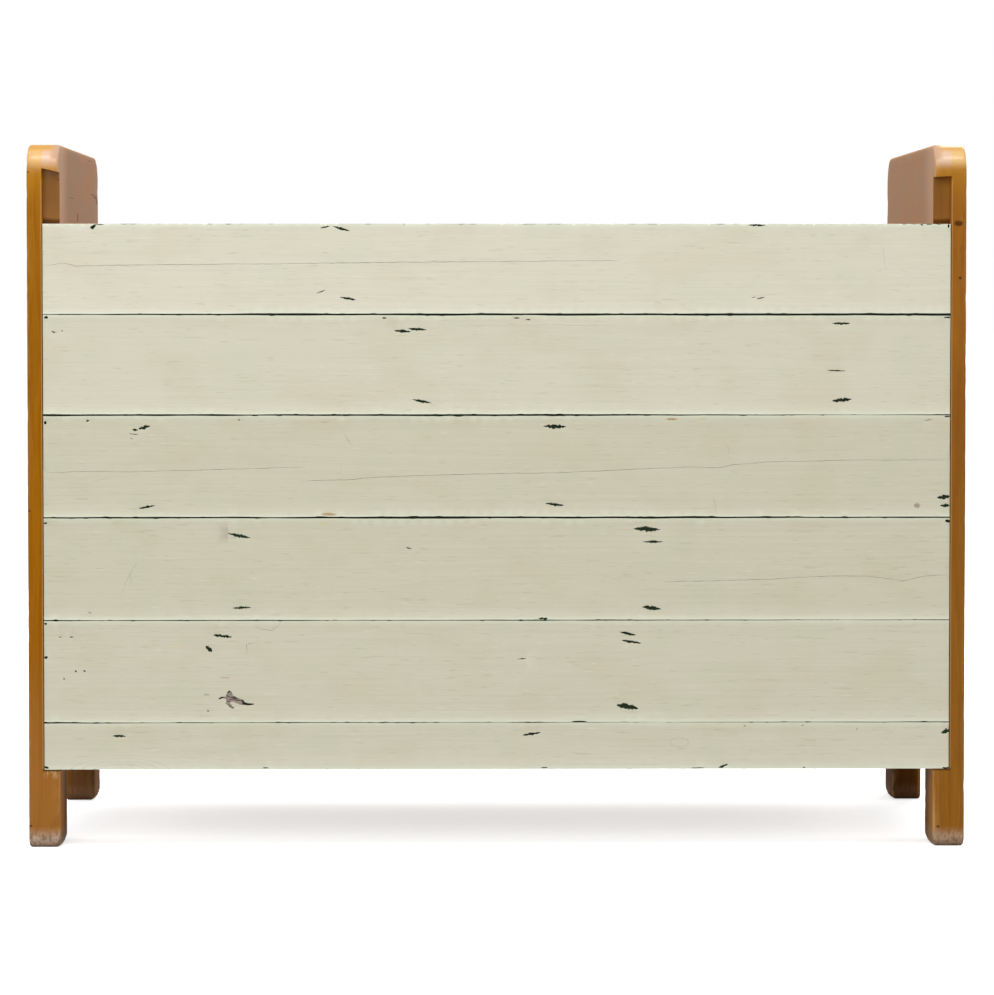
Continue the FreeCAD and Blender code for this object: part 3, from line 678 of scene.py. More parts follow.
class Plank:
    """One tongued and grooved board, with measures along it, up its face and into its wood."""

    def __init__(self, origin, axes, size, tongue, groove, round_by=0.9 * MM):
        self.origin, self.axes = Vector(origin), [Vector(axis) for axis in axes]
        self.length, self.height, self.thickness = size
        self.tongue, self.groove, self.round_by = tongue, groove, round_by
        rounding = [round_by * (1 - math.cos(math.pi / 2 * step / 4)) for step in range(5)]
        self.rows = spread(rounding + [4 * MM], self.height)
        self.columns = spread([0.0, 0.5 * MM, 1.5 * MM, 5 * MM], self.length)

    def place(self, p, q, s):
        return self.origin + self.axes[0] * p + self.axes[1] * q + self.axes[2] * s

    def dip(self, p, q, side):
        """How far a face lies under its flat plane: hollow, a little wavy, round at its edges."""
        hollow = 0.35 * MM * (1 - (2 * q / self.height - 1) ** 2)
        seed = self.origin.z * 7 + self.origin.y * 3 + side * 5
        wave = 0.5 + 0.5 * noise.noise(Vector((p * 6, q * 17, seed)))
        ripple = 0.5 + 0.5 * noise.noise(Vector((p * 21, q * 60, seed)))
        edge = max(0.0, min(q, self.height - q))
        short = max(0.0, self.round_by - edge)
        drop = self.round_by - math.sqrt(self.round_by**2 - short**2)
        end = max(0.0, min(p, self.length - p))
        drop += 0.5 * MM * max(0.0, 1 - end / (1.5 * MM)) ** 2
        return hollow + (wave * 0.28 + ripple * 0.08) * MM * min(1.0, edge / (4 * MM)) + drop

    def core(self, coats):
        """The wood itself, under coats of paint on its first face, its second, both or neither."""
        middle, tongue, top = self.thickness / 2, TONGUE_THICKNESS / 2, self.height + TONGUE_LENGTH
        groove = tongue + TONGUE_PLAY
        points = []
        for p in self.columns:
            section = [(q, self.dip(p, q, 0) + coats[0] * COAT) for q in self.rows]
            if self.tongue:
                section += [(self.height, middle - tongue), (top, middle - tongue + 0.4 * MM)]
                section += [(top, middle + tongue - 0.4 * MM), (self.height, middle + tongue)]
            behind = self.thickness - coats[1] * COAT
            section += [(q, behind - self.dip(p, q, 1)) for q in reversed(self.rows)]
            if self.groove:
                section += [(0.0, middle + groove), (GROOVE_DEPTH, middle + groove)]
                section += [(GROOVE_DEPTH, middle - groove), (0.0, middle - groove)]
            points += [self.place(p, q, s) for q, s in section]
        faces = bridge(len(self.columns), len(section))
        last = len(points) - len(section)
        _, ends, _, given = fill([section])
        for face in ends:
            corners = [given[corner][0] for corner in face]
            faces += [tuple(corners), tuple(last + corner for corner in reversed(corners))]
        return points, faces

    def coat(self, side, gaps, cracks):
        """The cream coat on one face, a thin closed shell with its chips and cracks left open."""
        border = [(0, 0), (self.length, 0), (self.length, self.height), (0, self.height)]
        grid = [(p, q) for p in self.columns for q in self.rows]
        flat, triangles, owners, _ = fill([border] + gaps + cracks, grid)
        open_gaps = set(range(1, 1 + len(gaps)))
        kept, brink = [], set()
        for face, owner in zip(triangles, owners):
            if 0 in owner and open_gaps.intersection(owner):
                brink.update(face)
            elif list(owner) == [0]:
                kept.append(tuple(face))
        points = []
        for lower in (0, 1):
            for index, (p, q) in enumerate(flat):
                q = min(max(q, 0.0), self.height)
                lifted = 0.3 * MM if index in brink and min(q, self.height - q) > 2 * MM else 0.0
                depth = self.dip(p, q, side) + lifted + lower * (COAT + 0.06 * MM)
                points.append(self.place(p, q, self.thickness - depth if side else depth))
        count = len(flat)
        faces = kept + [tuple(count + corner for corner in reversed(face)) for face in kept]
        sides = dict.fromkeys((face[i], face[(i + 1) % 3]) for face in kept for i in range(3))
        faces += [(b, a, count + a, count + b) for a, b in sides if (b, a) not in sides]
        return points, faces


def chip(box, draw, tilt=None, step=1.1 * MM):
    """The ragged outline of a sliver of lost paint that fills a box, pointed at both ends."""
    left, low, right, high = box
    count = max(5, round((right - left) / step))
    tilt = draw.uniform(-0.25, 0.25) if tilt is None else tilt
    lean = draw.uniform(1.2, 2.4)
    middle, half = (low + high) / 2, (high - low) / 2
    upper, lower = [], []
    for index in range(1, count):
        u = 2 * index / count - 1
        swell = half * (1 - abs(u) ** lean) ** 0.8
        axis = middle + tilt * u * half
        x = left + (right - left) * (index + draw.uniform(-0.3, 0.3)) / count
        upper.append((x, axis + swell * draw.uniform(0.35, 1.0)))
        lower.append((x, axis - swell * draw.uniform(0.35, 1.0)))
    return [(left, middle - tilt * half)] + lower + [(right, middle + tilt * half)] + upper[::-1]


def crack(route, width, draw, step=7 * MM):
    """A hairline crack along a route, thin at its ends and never quite straight."""
    route = [Vector(place) for place in route]
    line = route[:1]
    for start, end in zip(route, route[1:]):
        pieces = max(1, round((end - start).length / step))
        for piece in range(1, pieces + 1):
            stray = draw.uniform(-0.35, 0.35) * MM if piece < pieces else 0.0
            line.append(start.lerp(end, piece / pieces) + Vector((0, stray)))
    left, right = [], []
    for index, point in enumerate(line):
        run = (line[min(index + 1, len(line) - 1)] - line[max(index - 1, 0)]).normalized()
        share = min(1.0, index / 3 + 0.15, (len(line) - 1 - index) / 3 + 0.15)
        half = Vector((-run.y, run.x)) * width / 2 * share * draw.uniform(0.6, 1.2)
        left.append(tuple(point + half))
        right.append(tuple(point - half))
    return right + left[::-1]


def worn_edge(plank, top, draw, depths=(0.1 * MM,)):
    """A ragged strip along an edge where the cream has gone, as deep as given in even steps."""
    count = round(plank.length / (2.2 * MM))
    seed = draw.uniform(0, 50)
    line = []
    for index in range(count + 1):
        p = plank.length * index / count
        base = np.interp(index / count, np.linspace(0, 1, len(depths)), depths)
        deep = base + (0.2 * MM + base * 0.4) * noise.noise(Vector((p * 22, seed, 0)))
        deep += max(0.0, noise.noise(Vector((p * 110, seed, 4))) - 0.25) * 1.6 * MM
        line.append((p, max(0.08 * MM, deep)))
    end = plank.length + MM
    strip = [(-MM, -MM), (-MM, line[0][1]), *line, (end, line[-1][1]), (end, -MM)]
    return [(p, plank.height - q) for p, q in strip] if top else strip[:1] + strip[:0:-1]


def counter(outline):
    """The outline, turning to the left."""
    area = sum(a[0] * b[1] - b[0] * a[1] for a, b in zip(outline, outline[1:] + outline[:1]))
    return outline if area > 0 else outline[::-1]


# Stains in the cream: right, down, half width and half height in pixels, strength and colour
STAINS = (
    (329.0, 514.3, 8.5, 1.8, 0.75, (158, 124, 74)),
    (325.0, 523.5, 7.0, 3.2, 0.30, (206, 190, 140)),
    (672.0, 419.2, 6.5, 1.4, 0.75, (160, 122, 78)),
    (702.0, 418.8, 6.0, 1.3, 0.45, (196, 178, 120)),
    (917.0, 505.5, 3.6, 3.2, 0.65, (128, 104, 84)),
    (225.0, 677.8, 6.0, 0.9, 0.55, (172, 132, 92)),
    (178.0, 646.0, 6.5, 1.8, 0.40, (212, 204, 148)),
    (206.5, 694.8, 3.6, 1.4, 0.45, (128, 130, 110)),
    (131.0, 579.0, 2.0, 7.0, 0.25, (170, 178, 140)),
    (857.0, 729.0, 0.8, 1.4, 0.6, (120, 110, 80)),
    (325.0, 422.0, 5.0, 0.6, 0.5, (140, 134, 106)),
    (668.8, 419.5, 2.0, 0.8, 0.5, (130, 116, 76)),
)


def cream_paint():
    cream = Pine("cream_paint", ring_width=5.5, knot_cell=0.3, knot_share=0.0, wander_by=22 * MM)
    place = cream.node("TexCoord", out="Object")
    y = cream.split(place)[1]

    def pixels_from(right, down, wide, high):
        return cream.far(place, on_back(right, down), (wide * PIXEL, 12 * MM, high * PIXEL))

    # Between a darker and a paler cream, as each board's tone says; on the back boards this holds
    # painted light too.
    base = cream.mix(cream.attribute("tone"), (198, 195, 173), (217, 214, 196))
    pinker = cream.noise(cream.stretch(place, 1.0, 1.0, 1.5), 12.0, 2.0)
    base = cream.tint(base, pinker.rise(0.47, 0.66) * 0.4, (253, 244, 238))
    greener = cream.noise(cream.stretch(place, 1.0, 3.0, 1.4), 15.0, 2.0)
    base = cream.tint(base, greener.rise(0.5, 0.7) * 0.3, (245, 252, 243))
    # Paler along the foot of each board: painted light.
    base = cream.mix(cream.attribute("lit_foot_edge") * 0.35, base, (224, 222, 204))
    strokes = cream.grain(5, 420, 3.0, 0.6)
    base = cream.tint(base, strokes.rise(0.58, 0.38) * 0.06, (196, 192, 172))
    base = cream.tint(base, cream.late * 0.05, (190, 186, 160))
    flecks = cream.grain(50, 430, 1.0)
    base = cream.tint(base, flecks.rise(0.64, 0.76) * 0.3, (214, 212, 196))
    base = cream.mix(flecks.rise(0.33, 0.22) * 0.18, base, (232, 232, 214))
    grime_and_edge_highlight = cream.attribute("grime_and_edge_highlight")
    smudge = grime_and_edge_highlight * cream.noise(place, 60.0, 3.0).rise(0.35, 0.7)
    base = cream.tint(base, smudge * 0.12, (206, 206, 182))
    # Paler right along each board's edges: painted highlight on the rounded arrises.
    base = cream.mix(grime_and_edge_highlight.rise(0.35, 0.84) * 0.4, base, (222, 228, 208))
    rear = y.rise(BACK_HIGH.y - 12 * MM, BACK_HIGH.y - 11 * MM)
    ragged = cream.noise(place, 420.0, 3.0, 0.6) - 0.5
    for *where, share, colour in STAINS:
        there = (pixels_from(*where) + ragged * 0.9).rise(1.05, 0.55)
        base = cream.mix(there * rear * share, base, colour)
    far = pixels_from(679.0, 742.5, 10, 5.2)
    ring = far.rise(0.72, 0.92) * far.rise(1.12, 0.95) * rear
    far = pixels_from(120.0, 772.0, 56, 15)
    arcs = ((far * 5.0).fraction() - 0.5).size().rise(0.10, 0.02)
    arcs = arcs * far.rise(1.15, 1.0) * far.rise(0.35, 0.5)
    base = cream.layers(base, (ring * 0.22, (160, 158, 132)), (arcs * rear * 0.22, (150, 148, 122)))
    relief = strokes * 0.25 + cream.late * 0.2 + cream.grain(30, 90) * 0.6
    relief = relief - ring * 0.5 - arcs * rear * 0.5 - flecks * 0.8
    return cream.surface(
        {
            "Base Color": base,
            "Roughness": strokes * 0.12 + 0.4,
            "Specular IOR Level": 0.3,
            "Normal": cream.bump(relief, 0.14 * MM),
        }
    )


# The biggest chip shows bare wood: its outline in the photograph
BARE_CHIP_PIXELS = (
    (229.0, 690.4), (231.5, 692.1), (233.1, 695.4), (237.3, 697.9), (243.1, 699.6), (244.3, 702.0),
    (248.0, 703.3), (254.7, 703.7), (253.0, 704.9), (248.0, 705.5), (243.1, 704.9), (238.9, 704.5),
    (235.2, 702.5), (231.5, 701.6), (229.8, 702.9), (231.5, 705.4), (234.4, 707.8), (232.7, 708.7),
    (229.0, 707.0), (226.5, 704.1), (224.8, 703.5), (226.5, 702.0), (225.7, 698.7), (222.3, 698.3),
    (219.0, 699.6), (218.6, 698.3), (221.9, 696.7), (225.7, 696.7), (226.9, 692.9),
)


def old_green():
    green = Pine("old_green_paint", ring_width=3.4)
    patches = green.grain(60, 180, 4.0, 0.6)
    paint = green.mix(patches.rise(0.35, 0.7), (15, 21, 11), (29, 46, 24))
    brown = green.mix(green.late, (84, 70, 50), (50, 38, 26))
    place = green.node("TexCoord", out="Object")
    far = green.far(place, on_back(233.0, 700.0), (10 * MM, 20 * MM, 8 * MM))
    bare_share = (far + (green.grain(160, 300, 3.0, 0.6) - 0.5) * 0.9).rise(1.3, 1.05)
    grey = green.mix(green.grain(110, 640, 3.0).rise(0.40, 0.56), (74, 62, 54), (156, 140, 134))
    colour = green.layers(paint, (patches.rise(0.66, 0.72), brown), (bare_share, grey))
    return green.surface(
        {
            "Base Color": colour,
            "Roughness": patches * 0.2 + 0.6,
            "Specular IOR Level": 0.12,
            "Normal": green.bump(patches, 0.3 * MM),
        }
    )


def bare_pine():
    pine = Pine("bare_pine", knot_cell=0.15, knot_share=0.45)
    colour = pine.wood((206, 176, 132), (166, 122, 76), (104, 66, 40), 0.6)
    colour = pine.mix(pine.broad.rise(0.3, 0.7) * 0.3, colour, (176, 142, 100))
    dust = pine.grain(9, 24, 3.0).rise(0.45, 0.75)
    return pine.surface(
        {
            "Base Color": pine.tint(colour, dust * 0.35, (180, 168, 152)),
            "Roughness": pine.fibre * 0.15 + 0.6,
            "Normal": pine.bump(pine.late * 0.6 + pine.fibre * 0.6, 0.14 * MM),
        }
    )


cream, green, bare = cream_paint(), old_green(), bare_pine()

# Chips in the rear face, in pixels of the photograph: centre right and down, width, height, slope
CHIP_PIXELS = (
    (92.8, 226.5, 6, 6, -0.2), (99, 224.4, 10, 1.6, 0), (324.9, 227.1, 10, 2.2, -0.2),
    (341.3, 228.6, 17, 3.6, 0.27), (757, 225.1, 18, 3, 0), (905, 224, 6, 1.4, -0.1),
    (914.4, 224, 3, 1.5, 0), (921.8, 224.9, 3, 2.2, 0.3), (928.7, 224.1, 7, 2.2, 0.1),
    (938.8, 224.1, 6, 1.6, 0), (948.7, 226, 2.2, 7, 0), (320.9, 291.7, 9, 1.6, -0.4),
    (348.1, 298.6, 17, 3.2, 0.18), (754.1, 297.3, 5, 1, -0.1), (760.7, 298, 9, 2, -0.2),
    (384.5, 318, 5, 2, 0), (516.5, 318, 7, 2, 0), (528.2, 319.6, 5, 1.5, 0),
    (841.3, 323.4, 19, 3.4, 0), (402.5, 331.2, 17, 4, 0.05), (417.5, 329.3, 19, 3.8, 0.05),
    (53.3, 331.9, 4, 2.1, 0.36), (62, 331, 2, 2, 0), (836.3, 370.7, 19, 2, 0.03),
    (841.7, 400, 20, 5.2, -0.09), (421.9, 401.3, 20, 3.7, 0.19), (239.1, 420, 2, 1.8, 0),
    (928.3, 420, 8, 0.9, -0.16), (87.6, 420.8, 3.5, 3.2, -0.3), (45.2, 422.5, 3, 6, 0.3),
    (144.5, 427.4, 12, 5.3, -0.25), (135, 429.9, 6.5, 3.2, 0.1), (133.5, 434.2, 11, 1.1, 0.1),
    (131.5, 438.6, 3.5, 0.9, 0.3), (554.8, 426.5, 23, 6, 0.02), (554.7, 504.5, 19, 4.4, 0.1),
    (146.9, 507.1, 17, 3.6, -0.17), (943.5, 497, 13, 6, -0.1), (945, 505.5, 10, 5, 0),
    (45.6, 523.1, 4, 2.6, 0), (646.5, 529.1, 27, 6.8, 0.04), (239, 535.7, 23, 4.6, 0.2),
    (653, 541.8, 21, 3.6, 0), (408.7, 548.2, 6, 1.7, 0.23), (241.8, 607.8, 19, 3.5, -0.05),
    (651.5, 607.9, 19, 5, 0.12), (89.8, 612.8, 4, 1.2, 0.4), (543, 618.6, 10, 3, 0),
    (627.7, 633.5, 17, 4.3, 0.21), (222.5, 636.1, 19, 4.4, 0.11), (71.3, 637.2, 5, 1.4, 0),
    (59.7, 637.2, 4, 1, 0.2), (631.3, 641.8, 20, 3.6, 0.15), (208.9, 648.8, 7, 6, 0.69),
    (522.2, 658.8, 10, 1.4, -0.06), (84.3, 671, 3, 2.4, 0.4), (75.8, 671.5, 2, 3.5, 0),
    (64, 679, 2, 1.8, 0), (46, 657.5, 4, 5, 0), (627.5, 706.7, 22, 7.6, 0.16),
    (208, 711, 2.4, 1.6, 0), (579.5, 721.6, 17, 2.6, 0), (744.7, 725.9, 3, 1.2, 0.2),
    (802.4, 725.5, 3, 1, 0), (531.5, 734, 19, 3.5, -0.15), (119.4, 736.2, 14, 3.4, 0.02),
    (945.5, 731.5, 9, 7, -0.3), (723.2, 766, 10, 3.6, -0.4), (804, 767.4, 3, 1.6, 0.3),
    (544.3, 767.6, 7, 1.6, 0), (697.7, 767.9, 14, 1.4, 0), (265.6, 767.9, 6, 1.4, 0),
    (946, 767.8, 9, 2.6, 0), (46, 317.5, 4, 5, 0), (947.5, 317.5, 7, 3, 0),
    (947.5, 416.5, 7, 3, 0), (948, 521, 6, 4, 0), (45.5, 624, 3, 4, 0), (46.5, 767.6, 5, 3, 0.2),
)
# Joints from the top down: pixel row, and how wide the dark line is in even steps to the right
JOINTS = (
    (314.4, (0.8, 1.3, 1.9, 2.1, 2.0, 2.1, 1.9, 2.3, 2.1, 2.5)),
    (415.0, (2.0, 1.6, 1.4, 1.8, 1.8, 1.9, 1.4, 0.8, 0.4, 0.9)),
    (517.5, (1.2, 1.5, 1.4, 2.0, 2.0, 1.7, 2.2, 1.6, 1.2, 1.6)),
    (620.2, (1.0, 0.7, 1.1, 0.6, 0.7, 1.1, 0.8, 0.8, 0.4, 0.8)),
    (722.4, (1.4, 0.8, 0.6, 0.8, 0.4, 0.5, 0.2, 0.4, 0.6, 0.9)),
)
EDGE_ROUNDS = (0.4, 0.4, 0.5, 0.8, 0.9, 0.9)
# How pale each back board's cream is, from the bottom up; the top two boards are paler, which is
# painted light from above.
BOARD_TONES_AND_LIGHT = (0.32, 0.2, 0.06, 0.03, 0.38, 0.64)
# Cracks in the cream, each a width in mm and its pixels in turn
CRACK_PIXELS = (
    (0.34, (43, 266), (62, 263), (76, 266), (130, 265), (250, 264), (380, 262.5), (560, 261),
     (620, 260.5)),
    (0.16, (455, 325.5), (540, 325), (620, 325.5)),
    (0.30, (43, 473), (75, 471.5), (130, 472), (220, 469.5), (307, 467)),
    (0.34, (300, 481), (345, 480), (380, 477), (455, 474.5), (489, 473.8), (560, 472.8),
     (620, 469.8), (690, 467), (718, 468), (733, 464.7), (767, 462), (857, 460), (950, 460)),
    (0.36, (660, 582), (768, 579.5), (792, 577.5), (834, 576), (870, 576.3), (891, 579), (903, 581),
     (926, 576), (949, 574.7)),
    (0.20, (882, 235), (884, 255), (886, 273)),
    (0.34, (724, 443), (728, 447), (729, 455)),
    (0.30, (712, 493), (715, 503), (716, 514)),
    (0.34, (342, 432), (348, 440), (354, 448)),
    (0.30, (341, 460), (341, 472)),
    (0.22, (140, 558), (131, 572), (124, 586), (119, 600)),
    (0.26, (198, 711), (206, 719)),
    (0.55, (255, 625), (259, 629), (272, 630.5), (277, 627), (281, 622)),
    (0.42, (247, 656), (246.5, 645), (249, 643.5), (262, 644.5)),
    (0.34, (250, 636), (258, 637), (260, 643)),
    (0.42, (268, 652), (275, 653)),
    (0.38, (267, 674), (273, 680)),
)


def panel_planks():
    """The six back boards, whose first face is the rear one. Along them is towards -X."""
    levels = [BACK_LOW.z] + [on_back(496, row).z for row, _ in reversed(JOINTS)] + [BACK_HIGH.z]
    for number, (bottom, top) in enumerate(zip(levels, levels[1:]), start=1):
        low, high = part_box(f"back_board_{number}")
        axes = ((-1, 0, 0), (0, 0, 1), (0, -1, 0))
        size = (high.x - low.x, top - bottom, high.y - low.y)
        edge = EDGE_ROUNDS[number - 1] * MM
        yield number, Plank((high.x, high.y, bottom), axes, size, number < 6, number > 1, edge)


def rear_marks(number, plank, draw):
    """The chips, worn edges and cracks of one back board's rear face."""

    def local(right, down):
        place = on_back(right, down)
        return plank.origin.x - place.x, place.z - plank.origin.z

    gaps, cracks = [], []
    for right, down, wide, high, slope in CHIP_PIXELS:
        p0, q0 = local(right - wide / 2, down + high / 2)
        p1, q1 = local(right + wide / 2, down - high / 2)
        if -MM < (q0 + q1) / 2 < plank.height + MM:
            gaps.append(chip((p0, q0, p1, q1), draw, -slope * wide / high))
    for width, *route in CRACK_PIXELS:
        points = [local(*pixel) for pixel in route]
        if 0 < points[0][1] < plank.height:
            cracks.append(crack(points, width * MM, draw))
    bare_chip = [local(*pixel) for pixel in BARE_CHIP_PIXELS]
    if 0 < bare_chip[0][1] < plank.height:
        gaps.append(bare_chip)
    for top, joint in ((False, 6 - number), (True, 5 - number)):
        widths = JOINTS[joint][1] if 0 <= joint < 5 else (0.2,)
        gaps.append(worn_edge(plank, top, draw, [width * PIXEL / 2 for width in widths]))
    return gaps, cracks


def inner_marks(plank, rear_gaps, draw):
    """The same knots have lifted some of the paint on the other face."""
    gaps = [worn_edge(plank, top, draw) for top in (False, True)]
    for outline in rear_gaps:
        if len(outline) < 60 and draw.random() < 0.55:
            p = outline[0][0] + draw.uniform(-6, 6) * MM
            q = min(max(outline[0][1], 8 * MM), plank.height - 8 * MM) + draw.uniform(-3, 3) * MM
            wide, high = draw.uniform(8, 18) * MM, draw.uniform(2, 4) * MM
            if 0 < p < plank.length - wide:
                gaps.append(chip((p, q - high / 2, p + wide, q + high / 2), draw))
    return gaps


def finish_of(plank, points, face, coated):
    """Which finish a face of the wood shows: 0 old paint, 1 cream, 2 the bare pine."""
    middle = sum((points[corner] for corner in face), Vector()) / len(face) - plank.origin
    p, q, s = (middle.dot(axis) for axis in plank.axes)

    def near_coat(depth):
        return (s < depth and 0 in coated) or (s > plank.thickness - depth and 1 in coated)

    free = (q > plank.height - MM and not plank.tongue) or (q < MM and not plank.groove)
    at_end = not 0.2 * MM < p < plank.length - 0.2 * MM
    if not near_coat(MM) and (free or at_end):
        return 1
    return 0 if near_coat(8 * MM) else 2


def painted_board(name, node, body, plank, sides, tone, draw):
    """A painted plank: its wood, and a coat on each face that has one, with its gaps."""
    points, faces = plank.core([float(side in sides) for side in (0, 1)])
    kinds = [finish_of(plank, points, face, sides) for face in faces]
    for side, marks in sides.items():
        gaps, cracks = ([counter(list(map(tuple, outline))) for outline in kind] for kind in marks)
        coat_points, coat_faces = plank.coat(side, gaps, cracks)
        faces += [tuple(len(points) + corner for corner in face) for face in coat_faces]
        points += coat_points
        kinds += [1] * len(coat_faces)
    mesh = mesh_of(name, points, faces, kinds)
    up = (places(mesh) - np.array(plank.origin)) @ np.array(plank.axes[1])
    # Grime and a painted highlight near each edge, and painted light along each board's foot, for
    # the cream to read.
    note(mesh, "grime_and_edge_highlight", (1 - np.minimum(up, plank.height - up).clip(0) / (9 * MM)).clip(0, 1))
    note(mesh, "lit_foot_edge", (1.2 - up / (9 * MM)).clip(0, 1))
    note(mesh, "tone", [tone] * len(up))
    lay_in_log(mesh, 0, 2, draw)
    for finish in (green, cream, bare):
        mesh.materials.append(finish)
    return stand(name, mesh, body, "painted_boards", node)


for number, plank in panel_planks():
    draw = random.Random(100 + number)
    rear = rear_marks(number, plank, draw)
    marks = {0: rear, 1: (inner_marks(plank, rear[0], draw), [])}
    name, node, tone = f"back_plank_{number}", f"back_board_{number}", BOARD_TONES_AND_LIGHT[number - 1]
    painted_board(name, node, "bench_frame", plank, marks, tone, draw)


# Rails: planed pine bars, left bare. Runners and cleats are screwed to the ends, and carry the
# pull-out and the lid; the rails carry the fixed slats and the strip behind the lid.
BAR_ARRIS, BAR_STATION, BAR_STEP = 1.6 * MM, 30 * MM, 14 * MM


def planed_bar(name, node, body, finish, slot, draw, arris=BAR_ARRIS):
    """A bar lofted from rounded sections, a little uneven from the plane, over its node."""
    low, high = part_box(node)
    size = high - low
    along = max(range(3), key=lambda axis: size[axis])
    u, v = sorted((axis for axis in range(3) if axis != along), key=lambda axis: -size[axis])
    corners = (0, 0), (size[u], 0), (size[u], size[v]), (0, size[v])
    section = rounded_outline([(corner, arris) for corner in corners], BAR_STEP)
    ways = inward(section)
    ends = [(0.0, 0.8 * MM), (0.25 * MM, 0.25 * MM), (0.9 * MM, 0.0)]
    count = max(2, round(size[along] / BAR_STATION))
    stations = ends + [(size[along] * share / count, 0.0) for share in range(1, count)]
    stations += [(size[along] - run, inset) for run, inset in reversed(ends)]
    seed = draw.uniform(0, 60)
    points = []
    for run, inset in stations:
        for p, way in zip(section, ways):
            wave = 0.5 + 0.5 * noise.noise(Vector((run * 7 + seed, p.x * 30, p.y * 30)))
            inner = p + way * (inset + wave * 0.25 * MM)
            point = [0.0, 0.0, 0.0]
            point[along], point[u], point[v] = low[along] + run, low[u] + inner.x, low[v] + inner.y
            points.append(point)
    total = len(section)
    faces = bridge(len(stations), total)
    faces += [tuple(range(total)), tuple(range(len(points) - total, len(points)))]
    mesh = mesh_of(name, points, faces)
    lay_in_log(mesh, along, u, draw)
    mesh.materials.append(finish)
    return stand(name, mesh, body, slot, node)


RAILS = ("runner_left", "runner_right", "seat_cleat_left", "seat_cleat_right", "slat_rail_front",
         "slat_rail_rear", "seat_rail_rear")
for number, node in enumerate(RAILS, start=200):
    planed_bar("bare_" + node, node, "bench_frame", bare, "bare_pine", random.Random(number))


# Slats: thin planed strips in two combs that lie between each other. Seven are nailed to the
# fixed rails and eight belong to the pull-out, and slide between them.
class Recipe(Tree):
    """A geometry tree, whose inputs are named."""

    def __init__(self, name, **inputs):
        super().__init__(bpy.data.node_groups.new(name, "GeometryNodeTree"))
        socket = self.tree.interface.new_socket
        for way in ("INPUT", "OUTPUT"):
            socket("Geometry", in_out=way, socket_type="NodeSocketGeometry")
        self.keys = {}
        for label, kind in inputs.items():
            made = socket(label, in_out="INPUT", socket_type="NodeSocket" + kind)
            self.keys[label] = made.identifier
        self.start = self.tree.nodes.new("NodeGroupInput")

    def given(self, label):
        return Wire(self, self.start.outputs[label])

    def finish(self, geometry):
        """Ends the tree with real, finished geometry."""
        real = self.node("GeometryNodeRealizeInstances", values={"Geometry": geometry})
        values = {"Geometry": real, "Material": self.given("Material")}
        done = self.node("GeometryNodeSetMaterial", values=values)
        self.tree.links.new(done.socket, self.tree.nodes.new("NodeGroupOutput").inputs[0])
        return self

    def bake(self, name, mesh, values):
        """Runs the tree on a mesh with these inputs, and gives back a plain mesh."""
        holder = add(name + "_holder", mesh)
        modifier = holder.modifiers.new("recipe", "NODES")
        modifier.node_group = self.tree
        for label, value in values.items():
            modifier[self.keys[label]] = value
        made = made_real(holder)
        made.name = name
        holder.modifiers.clear()
        bpy.data.objects.remove(holder)
        return made


SLAT_ARRIS, SLAT_STATIONS = 1.5 * MM, 18


def comb_recipe():
    recipe = Recipe(
        "comb_of_slats", Count="Int", Pitch="Float", First="Vector", Length="Float", Width="Float",
        Thickness="Float", Arris="Float", Seed="Int", Material="Material",
    )
    node, given = recipe.node, recipe.given
    values = {"Width": given("Width"), "Height": given("Thickness")}
    section = node("GeometryNodeCurvePrimitiveQuadrilateral", values=values)
    values = {"Curve": section, "Count": 3, "Radius": given("Arris")}
    section = node("GeometryNodeFilletCurve", {"mode": "POLY"}, values)
    values = {"Start": (0, 0, 0), "End": node("CombineXYZ", values={"Y": given("Length")})}
    path = node("GeometryNodeCurvePrimitiveLine", values=values)
    path = node("GeometryNodeResampleCurve", values={"Curve": path, "Count": SLAT_STATIONS})
    values = {"Curve": path, "Profile Curve": section, "Fill Caps": True}
    slat = node("GeometryNodeCurveToMesh", values=values)
    step = node("CombineXYZ", values={"X": given("Pitch")})
    values = {"Count": given("Count"), "Start Location": given("First"), "Offset": step}
    line = node("GeometryNodeMeshLine", {"mode": "OFFSET"}, values)
    values = {"Min": (0.994, 0.9985, 0.985), "Max": (1.0, 1.0, 1.0), "Seed": given("Seed")}
    sag = node("FunctionNodeRandomValue", {"data_type": "FLOAT_VECTOR"}, values)
    values = {"Points": line, "Instance": slat, "Scale": sag}
    comb = node("GeometryNodeInstanceOnPoints", values=values)
    values = {"Geometry": comb, "Name": "slat_number", "Value": node("GeometryNodeInputIndex")}
    settings = {"data_type": "FLOAT", "domain": "INSTANCE"}
    return recipe.finish(node("GeometryNodeStoreNamedAttribute", settings, values))


comb = comb_recipe()


